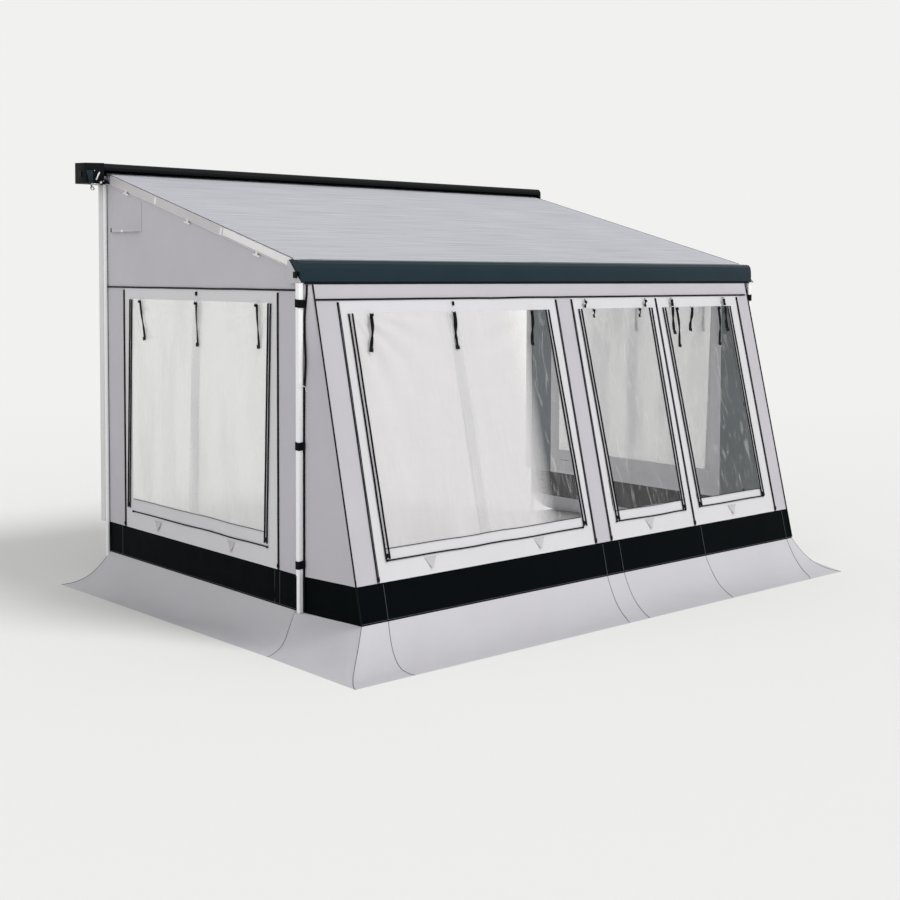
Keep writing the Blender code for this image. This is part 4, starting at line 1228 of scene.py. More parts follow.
@dataclass
class Awning:
    """The roof cloth, its turns on the roller, and the trim on cassette, rafters and rail."""

    room: Room

    def build(self) -> None:
        """Makes the awning's cloth and trim."""
        self.roof()
        self.wound()
        self.cassette_trim()
        self.rafter_trim()
        self.rail_trim()

    def roof(self) -> None:
        """The cloth from the roller to the rail, stretched, with the faint ridges of its seams."""
        low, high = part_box("roof_cloth")
        pitch, half = self.room.pitch, high.x
        length = (high.y - low.y) / math.cos(pitch)
        table = Table(Vector((0.0, low.y, high.z - (high.y - low.y) * math.tan(pitch))), Vector((1, 0, 0)),
                      Vector((0, math.cos(pitch), math.sin(pitch))))
        slack = Slack(Edges(-half, half, 0.0, length), 0.0, 0.0, 3.0, 0.10)
        seam_spacing = 1.2

        def relief(u: float, v: float) -> float:
            rise = 0.0035 * abs(wave(u * 0.9, v * 0.7, 3.0)) + 0.0008 * wave(u * 5, v * 2, 1.0)
            rise += 0.0012 * hump(v % seam_spacing - seam_spacing / 2, 0.008)
            return rise * slack.hold(u, v)

        cloth = Bench.sheet("roof", *slack.area, 0.035)
        Bench.crease(cloth, relief)
        sew(cloth, Surface.ROOF, (2 * half, length), ["roller_tube", "lead_rail"], "roof_cloth",
            held="stretched", thickness=TAPE, table=table)

    def wound(self) -> None:
        """The turns of cloth that stay on the roller."""
        low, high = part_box("wound_fabric")
        axis = (low + high) / 2
        outer, inner, turns = (high.z - low.z) / 2 - MM, (high.z - low.z) / 2 - 6.5 * MM, 4
        length = turns * math.pi * (outer + inner)

        def place(u: float, v: float) -> Vector:
            share = v / length
            angle, radius = turns * math.tau * share, inner + (outer - inner) * share
            return Vector((u, axis.y - radius * math.sin(angle), axis.z + radius * math.cos(angle)))

        cloth = Bench.sheet("roof_turns", low.x, high.x, 0.0, length, 0.006)
        Bench.shape(cloth, place)
        sew(cloth, Surface.ROOF, (high.x - low.x, length), ["roller_tube"], "wound_fabric", body="roller",
            held="folded", thickness=THIN_FILM, angle=35.0)

    def cassette_trim(self) -> None:
        """The pale lip under the casing, its end hook, and the screws of its caps."""
        low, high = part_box("cassette_shell")
        lip = [(x, low.y + 0.004, low.z - 0.0016) for x in (low.x + 0.01, high.x - 0.01)]
        add_line("cassette_lip", lip, 0.0016, Surface.WHITE_CLIP)
        self.left_cap()
        x, y, z = low.x - 0.040, low.y - 0.001, low.z
        curve = [(x + a, y + b, z + c) for a, b, c in (
            (0.0, 0.0, 0.083), (-0.013, -0.009, 0.070), (-0.021, -0.012, 0.055), (-0.026, -0.010, 0.040),
            (-0.029, -0.003, 0.028))]
        finish_piece(Bench.smooth(Bench.cord("cap_hook", curve, 0.0056, 2), 60), Surface.WHITE_CLIP)
        plate = Bench.block("lip_bracket", (x - 0.066, y - 0.006, z - 0.012),
                            (x, y + 0.03, z - 0.0005), 0.0012)
        finish_piece(plate, Surface.ZINC)
        knob = Bench.knob("lip_knob", (x + 0.006, y - 0.008, z + 0.008), (0.018, 0.020, 0.018))
        finish_piece(knob, Surface.WHITE_CLIP)
        for number, (u, w) in enumerate(((-2.372, 0.095), (-2.300, 0.020))):
            screw = Bench.repeat("screw", f"cap_screw_{number + 1}", self.screw)
            finish_piece(Bench.move(screw, (u, low.y - 0.004, z + w)), Surface.ZINC)

    @staticmethod
    def left_cap() -> None:
        """The long end cap: rounded at its outer end, with the gear's faceted housing on its face."""
        low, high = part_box("cassette_cap_left")
        near = 0.012
        cap = Bench.block("casing_cap_left_end", low, high, 0.004)
        with Bench.picked(cap, "VERT", lambda place: place.x < low.x + near and place.y < low.y + near):
            bpy.ops.transform.translate(value=(0.018, 0.0, 0.0))
        with Bench.picked(cap, "VERT", lambda place: place.x < low.x + 0.05 and place.z > high.z - near
                          and place.y < low.y + near):
            bpy.ops.transform.translate(value=(0.0, 0.012, -0.004))
        finish_piece(Bench.smooth(cap, 50.0), Surface.ANTHRACITE, ROOT, "cassette_cap_left")
        housing = Bench.block("gear_housing", (low.x + 0.020, low.y - 0.006, low.z + 0.002),
                              (low.x + 0.066, low.y + 0.010, low.z + 0.094), 0.002)
        with Bench.picked(housing, "VERT", lambda place: place.x < low.x + 0.03 and place.z < low.z + 0.02):
            bpy.ops.transform.translate(value=(0.014, 0.0, 0.0))
        finish_piece(housing, Surface.SLATE)

    @staticmethod
    def screw(radius: float = 0.0042) -> Piece:
        """A pan-head screw at the origin, whose head faces the front, with its slot pressed in."""
        Bench.hold()
        bpy.ops.mesh.primitive_cylinder_add(vertices=20, radius=radius, depth=0.004,
                                            rotation=(math.pi / 2, 0.0, 0.0))
        piece = Bench.settle(Bench.named("screw"))
        with Bench.picked(piece, "FACE", lambda place: place.y < -0.0015):
            bpy.ops.mesh.inset(thickness=radius * 0.45)
            bpy.ops.transform.resize(value=(1.0, 1.0, 0.35), center_override=(0.0, 0.0, 0.0))
            bpy.ops.mesh.extrude_region_move(TRANSFORM_OT_translate={"value": (0.0, 0.0014, 0.0)})
        return Bench.smooth(Bench.pattern(piece))

    def rafter_trim(self) -> None:
        """The joint bands and hooks of the left rafter, the roof's edge seam and the bead of its hem."""
        room, pitch = self.room, self.room.pitch
        low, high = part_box("rafter_outer_left")
        slope = Vector((0, -math.cos(pitch), -math.sin(pitch)))
        down = Vector((0, math.sin(pitch), -math.cos(pitch)))
        start = room.spot((low.x + high.x) / 2, 0.0, self.under_roof(0.0))
        for name, x, rise, end, radius, surface in (
                ("roof_edge_left", low.x + 0.012, 0.0032, 2.52, 0.0020, Surface.THREAD),
                ("rafter_bead_left", low.x - 0.001, -0.0575, 2.50, 0.0022, Surface.WHITE_CLIP)):
            line = [room.spot(x, setback, self.under_roof(setback) + rise)
                    for setback in (0.17, 1.0, 1.8, end)]
            add_line(name, line, radius, surface)
        self.rafter_hem(low.x, high.x)

        def make_joint_band() -> Piece:
            girth, half, middle = 0.17, 0.0168, 0.0290
            band = Bench.sheet("joint_band", 0.0, girth, -0.015, 0.015, 0.008)

            def place(u: float, v: float) -> Vector:
                angle = math.tau * u / girth + 0.4
                c, s = math.cos(angle), math.sin(angle)
                reach = 1 / max(abs(c) / half, abs(s) / (middle - 0.0005), 1e-6)
                return slope * v + down * (middle + reach * s) + Vector((reach * c, 0.0, 0.0))

            Bench.shape(band, place)
            Bench.thicken(band, -TAPE)
            return Bench.smooth(band)

        def make_rafter_hook() -> Piece:
            stem = Bench.block("stem", (-0.005, -0.009, -0.022), (0.005, 0.009, 0.006), 0.0016)
            bar = Bench.block("bar", (-0.007, -0.036, -0.030), (0.005, 0.036, -0.018), 0.003)
            hook = Bench.join("rafter_hook", [stem, bar])
            hook.data.transform(Matrix.Rotation(pitch, 4, "X"))
            return hook

        for number, setback in enumerate((0.845, 1.716)):
            band = Bench.repeat("joint_band", f"joint_band_{number + 1}_left", make_joint_band)
            finish_piece(Bench.move(band, start + slope * (setback / math.cos(pitch))), Surface.WHITE_CLIP)
        for number, setback in enumerate((0.407, 1.275, 2.133)):
            hook = Bench.repeat("rafter_hook", f"rafter_hook_{number + 1}_left", make_rafter_hook)
            Bench.move(hook, room.spot(start.x - 0.012, setback, self.under_roof(setback) - 0.056))
            finish_piece(hook, Surface.WHITE_CLIP)

    def rafter_hem(self, outer: float, inner: float) -> None:
        """The gable's top hem, turned out under the left rafter to its bead."""
        near, far, inset = 0.165, 2.50, 0.002
        cos = math.cos(self.room.pitch)
        width, length = inner - outer - inset, (far - near) / cos
        hem = Bench.sheet("gable_hem_left", 0.0, width, 0.0, length)

        def place(u: float, v: float) -> Vector:
            setback = near + v * cos
            sag = 0.0012 * wave(u * 20, v * 6, 2.0)
            return self.room.spot(outer + inset + u, setback, self.under_roof(setback) - 0.0590 + sag)

        Bench.shape(hem, place)
        sew(hem, Surface.GREY_CANVAS, (width, length), ["rafter_outer_left", "rafter_inner_left"],
            thickness=TAPE, angle=35.0)

    def under_roof(self, setback: float) -> float:
        """The height of the roof's underside."""
        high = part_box("roof_cloth")[1]
        return high.z - 0.0033 - (setback - self.room.vehicle + high.y) * math.tan(self.room.pitch)

    def rail_trim(self) -> None:
        """The cords in the rail's grooves and its end bracket."""
        low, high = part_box("lead_rail")
        front = low.y
        for name, z, y, radius in (("rail_keder", low.z - 0.0030, front - 0.001, 0.0058),
                                   ("rail_top_cord", high.z - 0.0010, front + 0.052, 0.0022)):
            add_line(name, [(low.x + 0.01, y, z), (high.x - 0.01, y, z)], radius, Surface.PIPING)
        face = -self.room.wall - 0.0252
        bracket = Bench.block("rail_bracket_left", (face - 0.022, front + 0.020, low.z + 0.030),
                              (face, front + 0.050, low.z + 0.070), 0.003)
        finish_piece(bracket, Surface.MOULDING)
        self.wall_ear(face)

    def wall_ear(self, face: float) -> None:
        """The corner of the side wall's cloth, which laps over the left cap's lower rear corner."""
        rear, tip, foot, corner = 2.495, 2.655, self.room.rail_bottom - 0.002, 0.020
        top = foot + 0.142
        ear = Bench.sheet("wall_ear_left", rear, tip, foot, top, 0.01)
        Bench.trim(ear, (rear + corner, top), (top - foot, tip - rear - corner))
        Bench.crease(ear, lambda u, v: 0.003 * math.sin(u * 40 + v * 18))
        area = (top - foot) * (tip - rear + corner) / 2
        sew(ear, Surface.GREY_CANVAS, (tip - rear, top - foot), ["rail_cap_left"], area=area,
            table=self.room.side_table(face - 0.0045))


# The tent room


@dataclass
class Opening:
    """A zip-in panel with its clear pane, and the trim on both. It is the same on every wall.

    The trim's places are on the wall's table, where the photograph shows them. The strip's are the
    left and right ends of its top and of its foot.
    """

    name: str
    table: Table
    panel: Edges
    pane: Edges
    body: str
    nodes: tuple[str, str]
    end: str
    hangs_from: str
    seed: float
    pane_foot: float
    piping: float
    straps: Sequence[tuple[Flat, Flat]]
    tabs: Sequence[float]
    window_zips: Sequence[tuple[Flat, Flat]]
    panel_zips: Sequence[float]
    strip: tuple[float, float, float, float] | None = None
    hook: float | None = None

    def __post_init__(self) -> None:
        self.pane_body = self.body + "_pane"

    def label(self, part: str) -> str:
        """A part's full name."""
        return f"{self.name}_{part}{self.end}"

    def build(self) -> None:
        """Makes the straps, then the panel and the pane that they are sewn on."""
        straps = self.make_straps()
        self.make_panel(straps[self.body])
        self.make_pane(straps[self.pane_body])

    def make_straps(self) -> dict[str, list[Piece]]:
        """The roll-up straps by the body they move with.

        One that hangs across the pane's hinge is split there, so that the pane can swing.
        """
        made = {self.body: [], self.pane_body: []}
        hinge, gap, clear = self.pane.high, 0.003, 0.014
        for number, (top, end) in enumerate(self.straps):
            across = top[1] > hinge + clear
            top = (top[0], min(top[1], self.panel.high - 0.030 if across else hinge - clear))
            width = 0.012 if abs(top[1] - end[1]) < 0.1 else 0.026
            twist = 0.3 + 0.35 * math.sin(number * 2.3 + self.seed)
            for body, part, wanted, away in ((self.body, "strap_top", across, -1.0),
                                             (self.pane_body, "strap", end[1] < hinge, 1.0)):
                if wanted:
                    piece = make_strap(self.label(f"{part}_{number + 1}"), width, top, end, twist)
                    Bench.trim(piece, (0.0, hinge - away * gap), (0.0, away))
                    Bench.hang(piece, self.table, 0.010)
                    made[body].append(finish_piece(piece, Surface.WEBBING, body))
        return made

    def small_part(self, part: str, make: Callable[[], Piece], place: Flat, surface: Surface,
                   body: str) -> Piece:
        """A repeated small part at a place on this wall."""
        piece = Bench.repeat(make.__name__, self.label(part), make)
        return finish_piece(Bench.hang(Bench.move(piece, place), self.table), surface, body)

    def long_zip(self, part: str, start: Flat, end: Flat, body: str, kind: Zip, slider: float) -> Piece:
        """A zip on this wall."""
        piece = kind.make(self.label(part), start, end, slider)
        return finish_piece(Bench.hang(piece, self.table, 0.0022), Surface.WEBBING, body)

    def make_panel(self, straps: Sequence[Piece]) -> None:
        """Four strips of cloth round the pane, the tabs under it and the zips that hold it in."""
        outer, inner = self.panel, self.pane
        narrow = Zip(0.016, Surface.WEBBING, 0.0034)
        trims = [self.long_zip(f"panel_zip_{number + 1}", (u, outer.low + 0.002), (u, outer.high - 0.009),
                               self.body, narrow, 0.010) for number, u in enumerate(self.panel_zips)]
        if self.hook is not None:
            place = (self.hook, outer.high - 0.013)
            trims.append(self.small_part("hook", make_hook, place, Surface.MOULDING, self.body))
        # The tabs take the darker grey canvas as painted shade, so they show against the pale panel.
        tabs = [self.small_part(f"tab_{number + 1}", make_tab, (u, inner.low - 0.004), Surface.GREY_CANVAS,
                                self.body) for number, u in enumerate(self.tabs)]
        top, pale = self.label("panel_top"), Surface.PALE_CANVAS
        for part, area, sewn in (
                ("top", Edges(outer.left, outer.right, inner.high, outer.high), [*trims, *straps]),
                ("foot", Edges(outer.left, outer.right, outer.low, inner.low), tabs),
                ("near", Edges(outer.left, inner.left, inner.low, inner.high), ()),
                ("far", Edges(inner.right, outer.right, inner.low, inner.high), ())):
            slack = Slack(area, 0.002, 0.001, self.seed + area.low, 0.02)
            above, nodes = (self.hangs_from, self.nodes[:1]) if part == "top" else (top, ())
            add_cloth(self.label("panel_" + part), slack, self.table, pale, above, *nodes, body=self.body,
                      trims=sewn, cell=0.025)

    def make_pane(self, straps: Sequence[Piece]) -> None:
        """The clear film with its hem, centre strip, zips, piping and straps."""
        edge, body = self.pane, self.pane_body
        wide = Zip(0.040, Surface.PALE_CANVAS)
        trims = [self.long_zip(f"window_zip_{number + 1}", start, end, body, wide, start[1] - end[1] - 0.034)
                 for number, (start, end) in enumerate(self.window_zips)]
        trims += straps
        left, right = edge.left + 0.012, edge.right - 0.012
        for part, height, radius in (("foot_piping", self.piping, 0.0048),
                                     ("film_seam", self.pane_foot, 0.0022)):
            line = between((left, height), (right, height), 0.12, 0.008, self.seed + height)
            trims.append(add_line(self.label(part), line, radius, Surface.PIPING, self.table, 0.004, body))
        trims += [self.small_part(f"knot_{number + 1}", make_knot, (u, self.piping), Surface.PIPING, body)
                  for number, u in enumerate((left, right))]
        if self.strip:
            trims.append(self.centre_strip(*self.strip))
        film = Slack(Edges(edge.left, edge.right, self.pane_foot, edge.high), 0.014, 0.0035,
                     self.seed + 4, 0.09, 0.0065)
        hem = Slack(Edges(edge.left, edge.right, edge.low, self.pane_foot), 0.003, 0.002,
                    self.seed + 8, 0.02)
        clear = Surface.FILM_SIDE if self.end else Surface.FILM_FRONT
        add_cloth(self.label("pane_film"), film, self.table, clear, self.label("panel_top"), self.nodes[1],
                  body=body, trims=trims, cell=0.018, thickness=FILM)
        add_cloth(self.label("pane_hem"), hem, self.table, Surface.PALE_CANVAS, self.label("pane_film"),
                  body=body, cell=0.02)

    def centre_strip(self, top_left: float, top_right: float, foot_left: float, foot_right: float) -> Piece:
        """The welded strip down the middle of the film, which hangs a little askew."""
        foot, high, inset = self.pane_foot, self.pane.high, 0.004
        strip = Bench.sheet(self.label("centre_strip"), 0.0, 1.0, foot + inset, high - inset, 0.02)

        def place(u: float, v: float) -> Vector:
            share = (v - foot) / (high - foot)
            left = foot_left + (top_left - foot_left) * share
            right = foot_right + (top_right - foot_right) * share
            return Vector((left + (right - left) * u, v, 0.001 * math.sin(v * 9 + u * 3)))

        Bench.shape(strip, place)
        Bench.pattern(strip)
        Bench.thicken(strip, THIN_FILM)
        Bench.hang(strip, self.table, 0.012)
        return finish_piece(Bench.smooth(strip), Surface.FILM_STRIP, self.pane_body)


@dataclass
class SideWall:
    """The left wall: gable, strips, vent, zip-in panel, black band and what is sewn on them."""

    room: Room

    def build(self) -> None:
        """Makes the left wall."""
        room = self.room
        table = room.side_table(-room.wall)
        rear, seam = room.rear_setback, room.seam_setback
        panel = room.edges("side_panel_left", False)
        edging = [(rear + 0.006, room.band_top), (rear + 0.008, 1.3), (rear + 0.006, room.gable_rear - 0.03)]
        trims = [add_line("rear_edging_left", edging, 0.0045, Surface.PIPING, table, 0.002),
                 add_piping("wall_piping_left", rear, seam - 0.03, panel.high + PIPING_OVER_PANEL, 4.0,
                            table)]
        self.gable(table, trims)
        self.vent(table)
        for name, left, right in (("rear_strip_left", rear, panel.left),
                                  ("front_strip_left", panel.right, seam)):
            slack = Slack(Edges(left, right, room.band_top, panel.high), 0.006, 0.002, left, 0.05)
            add_cloth(name, slack, table, Surface.GREY_CANVAS, "gable_left")
        slack = Slack(Edges(rear, seam, room.skirt_top, room.band_top), 0.007, 0.002, 7.0, 0.04)
        add_band("band_left", "band_seam_{}_left", "band_hem_left", slack, (0.29, 2.308, 2.365), 0.01, 2.0,
                 table, "front_strip_left", "side_band_left")
        Opening(
            name="side", table=table, panel=panel, pane=room.edges("side_window_left", False),
            body="left_door", nodes=("side_panel_left", "side_window_left"), end="_left",
            hangs_from="gable_left", seed=11.0, pane_foot=0.645, piping=0.552,
            strip=(1.333, 1.438, 1.263, 1.382), hook=1.373, tabs=(0.824, 1.795),
            straps=(((0.607, 2.125), (0.669, 1.826)), ((1.385, 2.115), (1.402, 1.809)),
                    ((2.13, 2.125), (2.157, 1.826))),
            window_zips=(((0.453, 2.113), (0.400, 0.575)), ((2.262, 2.113), (2.212, 0.575))),
            panel_zips=(panel.left, panel.right),
        ).build()

    def gable(self, table: Table, trims: Sequence[Piece]) -> None:
        """The cloth above the panel, cut level under the casing, then along the roof's slope to the rail."""
        room = self.room
        low, rear, seam, level = room.panel_top, room.rear_setback, room.seam_setback, room.gable_level
        fall = math.tan(room.pitch)
        top_front = room.gable_rear - (seam - level) * fall
        vent_area = 0.42 * 0.258
        cloth = Bench.sheet("gable_left", rear, seam, low, room.gable_rear)
        Bench.trim(cloth, (level, room.gable_rear), (fall, 1.0))
        corners = self.vent_corners(0.0)
        notch, past, over = room.rail_rear + MM, seam + 0.01, top_front + 0.1
        Bench.opening(cloth, corners)
        under = room.rail_bottom
        Bench.opening(cloth, [(notch, under), (past, under), (past, over), (notch, over)])
        slack = Slack(Edges(rear, seam, low, room.gable_rear), 0.006, 0.002, 1.0, 0.06)

        def relief(u: float, v: float) -> float:
            top = room.gable_rear - max(0.0, u - level) * fall
            return slack.at(u, v) * clamp((top - v) / 0.08) * self.away_from(corners, u, v)

        Bench.crease(cloth, relief)
        height = room.gable_rear - low
        area = (level - rear) * height + (seam - level) * (height + top_front - low) / 2 - vent_area
        area -= (seam - room.rail_rear) * (top_front - room.rail_bottom)
        sew(cloth, Surface.GREY_CANVAS, (seam - rear, height), ["rafter_outer_left", "rafter_inner_left"],
            "side_wall_left", area=area, trims=trims, out=OUT, table=table)

    def vent_corners(self, grow: float) -> list[Flat]:
        """The vent's corners on the wall, anticlockwise, widened at its sides and foot."""
        low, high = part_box("vent_flap_left")
        rear, front = self.room.vehicle - high.y - MM - grow, self.room.vehicle - low.y + MM + grow
        fall = math.tan(self.room.pitch)
        top_rear = high.z + 0.0005
        return [(rear, low.z - grow), (front, low.z - grow), (front, top_rear - (front - rear - grow) * fall),
                (rear, top_rear + grow * fall)]

    @staticmethod
    def away_from(corners: Sequence[Flat], u: float, v: float) -> float:
        """0 at an opening's edge, rising to 1 a little way from it."""
        (left, low), (right, _), (_, high_right), (_, high_left) = corners
        return clamp(max(left - u, u - right, low - v, v - max(high_right, high_left)) / 0.05)

    def vent(self, table: Table) -> None:
        """The flap over the vent, a soft pocket with a toggle at its foot."""
        (rear, foot), (front, _), (_, front_top), (_, rear_top) = self.vent_corners(0.010)
        fall = math.tan(self.room.pitch)
        flap = Bench.sheet("vent_flap_cloth_left", rear, front, foot, rear_top, 0.012)
        Bench.trim(flap, (rear, rear_top), (fall, 1.0))

        def relief(u: float, v: float) -> float:
            top = rear_top - (u - rear) * fall
            side = min(1.0, (u - rear) / 0.03) * min(1.0, (front - u) / 0.05) * min(1.0, (top - v) / 0.25)
            pocket = 0.018 + 0.006 * wave(u * 4, v * 3, 5.0)
            roll = 0.006 * (hump(v - foot - 0.02, 0.014) + hump(front - u - 0.05, 0.02))
            return max(0.0, side) * (pocket + roll)

        Bench.crease(flap, relief)
        toggle = ("vent_toggle_left", (rear - 0.004, foot + 0.018, 0.008), (0.020, 0.034, 0.014))
        stud = ("vent_stud_left", (0.361, foot + 0.008, 0.024), (0.050, 0.020, 0.010))
        trims = [finish_piece(Bench.hang(Bench.knob(*knob), table), surface, "vent_left")
                 for knob, surface in ((toggle, Surface.MOULDING), (stud, Surface.WHITE_CLIP))]
        width, height = front - rear, rear_top - foot
        sew(flap, Surface.GREY_CANVAS, (width, height), ["gable_left"], "vent_flap_left", body="vent_left",
            area=width * (height + front_top - foot) / 2, trims=trims, thickness=0.0016, out=OUT, table=table,
            lift=0.0022)


@dataclass
class FrontWall:
    """The sloping front: valance, strips, three zip-in panels and the black band."""

    room: Room

    def build(self) -> None:
        """Makes the front."""
        room, up, half = self.room, self.room.up_front, self.room.front
        table = room.front_table()
        panels = [room.edges(f"front_panel_{number}", True) for number in (1, 2, 3)]
        top, foot = panels[0].high, up(room.band_top)
        slack = Slack(Edges(-half, half, top, up(room.rail_bottom) - MM), 0.004, 0.002, 2.0, 0.03)
        trims = [add_piping("front_piping", -half, half - 0.03, top + PIPING_OVER_PANEL, 6.0, table)]
        add_cloth("valance", slack, table, Surface.GREY_CANVAS, "lead_rail", "front_wall", trims=trims)
        for number, (left, right) in enumerate(((-half, panels[0].left), (panels[0].right, panels[1].left),
                                                (panels[2].right, half))):
            slack = Slack(Edges(left, right, foot, top), 0.006, 0.002, number + 20.0, 0.05)
            add_cloth(f"front_strip_{number + 1}", slack, table, Surface.GREY_CANVAS, "valance")
        slack = Slack(Edges(-half, half, 0.0, foot), 0.006, 0.002, 8.0, 0.04)
        add_band("front_band_cloth", "front_band_seam_{}", "front_band_hem", slack,
                 (-1.966, -0.007, 0.163, 1.078, 2.099), 0.012, 5.0, table, "front_strip_1", "front_band")
        for number, details in enumerate(self.details(up, *panels), 1):
            Opening(name=f"front_{number}", table=table, panel=panels[number - 1],
                    pane=room.edges(f"front_window_{number}", True), body=f"front_door_{number}",
                    nodes=(f"front_panel_{number}", f"front_window_{number}"), end="", hangs_from="valance",
                    seed=25.0 + number * 5, **details).build()

    @staticmethod
    def details(up: Callable[[float], float], first: Edges, second: Edges, third: Edges) -> list[dict]:
        """Each panel's trim, where the photograph shows it."""

        def on(*ends: tuple[Flat, Flat]) -> list[tuple[Flat, Flat]]:
            return [((a[0], up(a[1])), (b[0], up(b[1]))) for a, b in ends]

        def zips(*ends: Flat) -> list[tuple[Flat, Flat]]:
            return on(*(((top, 2.052), (foot, 0.555)) for top, foot in ends))

        return [
            {
                "pane_foot": up(0.618), "piping": up(0.548), "strip": (-1.115, -1.02, -1.115, -1.02),
                "straps": on(((-1.761, 2.062), (-1.799, 1.811)), ((-1.067, 2.058), (-1.074, 1.806)),
                             ((-0.345, 2.055), (-0.375, 1.811))),
                "tabs": (-1.567, -0.608), "window_zips": zips((-1.915, -1.903), (-0.175, -0.150)),
                "panel_zips": (first.left, first.right), "hook": -1.05,
            },
            {
                "pane_foot": up(0.622), "piping": up(0.550),
                "straps": on(((0.218, 2.126), (0.218, 2.062)), ((0.290, 2.052), (0.293, 1.990)),
                             ((0.879, 2.127), (0.876, 2.060)), ((0.794, 2.045), (0.792, 1.985))),
                "tabs": (0.525,), "window_zips": zips((0.165, 0.190), (0.940, 0.925)),
                "panel_zips": (second.left, second.right - 0.009),
            },
            {
                "pane_foot": up(0.615), "piping": up(0.555),
                "straps": on(((1.184, 2.132), (1.166, 1.848)), ((1.233, 2.047), (1.198, 1.748)),
                             ((1.412, 2.037), (1.358, 1.867)), ((1.828, 2.127), (1.825, 1.855)),
                             ((1.751, 2.04), (1.691, 1.748))),
                "tabs": (1.488,), "window_zips": zips((1.098, 1.115), (1.900, 1.893)),
                "panel_zips": (third.right,),
            },
        ]


@dataclass
class Corner:
    """The left corner: the wedge of cloth from leg to front, with its share of the band."""

    room: Room

    def ends(self, z: float) -> tuple[Vector, Vector]:
        """The wedge's two ends at a height: on the leg's seam, and on the front's edge."""
        room = self.room
        setback = room.rail_setback + (room.rail_bottom - z) * math.tan(room.lean)
        return (room.spot(-room.wall, room.seam_setback, z),
                room.spot(-room.front, max(setback, room.seam_setback + 0.002), z))

    def build(self) -> None:
        """Makes the wedge's cloth, its band and its edgings."""
        room, count = self.room, 40
        foot, rise = room.skirt_top + 0.01, room.rail_bottom - room.skirt_top - 0.02
        front, seam = [], []
        for z in [foot + rise * step / count for step in range(count + 1)]:
            start, end = self.ends(z)
            front.append(end + Vector((-0.001, -0.002, 0.0)))
            slack = 0.013 * hump(z - 1.76, 0.13) + 0.002 * wave(0, 0, z * 4)
            reach = 0.023 + 0.014 * clamp((z - 2.05) / 0.15)
            near = start.lerp(end, min(0.66, reach / (end - start).length))
            seam.append(near + Vector((-0.005, -0.003 - slack, 0.0)))
        trims = [add_line("corner_edging_left", front, 0.0055, Surface.PIPING),
                 add_line("leg_edging_left", seam, 0.0068, Surface.PIPING)]
        self.cloth("corner_left", room.band_top, room.rail_bottom - MM, Surface.GREY_CANVAS, trims,
                   "corner_wedge_left")
        self.cloth("corner_band_left", room.skirt_top, room.band_top, Surface.BLACK_CANVAS, ())

    def cloth(self, name: str, low: float, high: float, surface: Surface, trims: Sequence[Piece],
              *nodes: str) -> None:
        """A part of the wedge between two heights."""
        width, top_width = ((end - start).length for start, end in (self.ends(low), self.ends(high)))
        sheet = Bench.sheet(name, 0.0, width, low, high)

        def narrow(u: float, v: float) -> Vector:
            start, end = self.ends(v)
            return Vector((u / width * (end - start).length, v, 0.0))

        def place(u: float, v: float) -> Vector:
            start, end = self.ends(v)
            run = end - start
            share = u / run.length
            billow = 0.009 * wave(u * 3, v * 1.1, 6.0) + 0.003 * wave(u * 9, v * 3, 2.0)
            out = run.cross(Vector((0, 0, 1))).normalized() * billow * math.sin(math.pi * clamp(share))
            return start + run * share + out

        Bench.shape(sheet, narrow)
        Bench.pattern(sheet)
        Bench.shape(sheet, place)
        sew(sheet, surface, (width, high - low), ["leg_outer_left"], *nodes, trims=trims,
            area=(width + top_width) / 2 * (high - low), out=Vector((-1, -0.3, 0)).normalized())


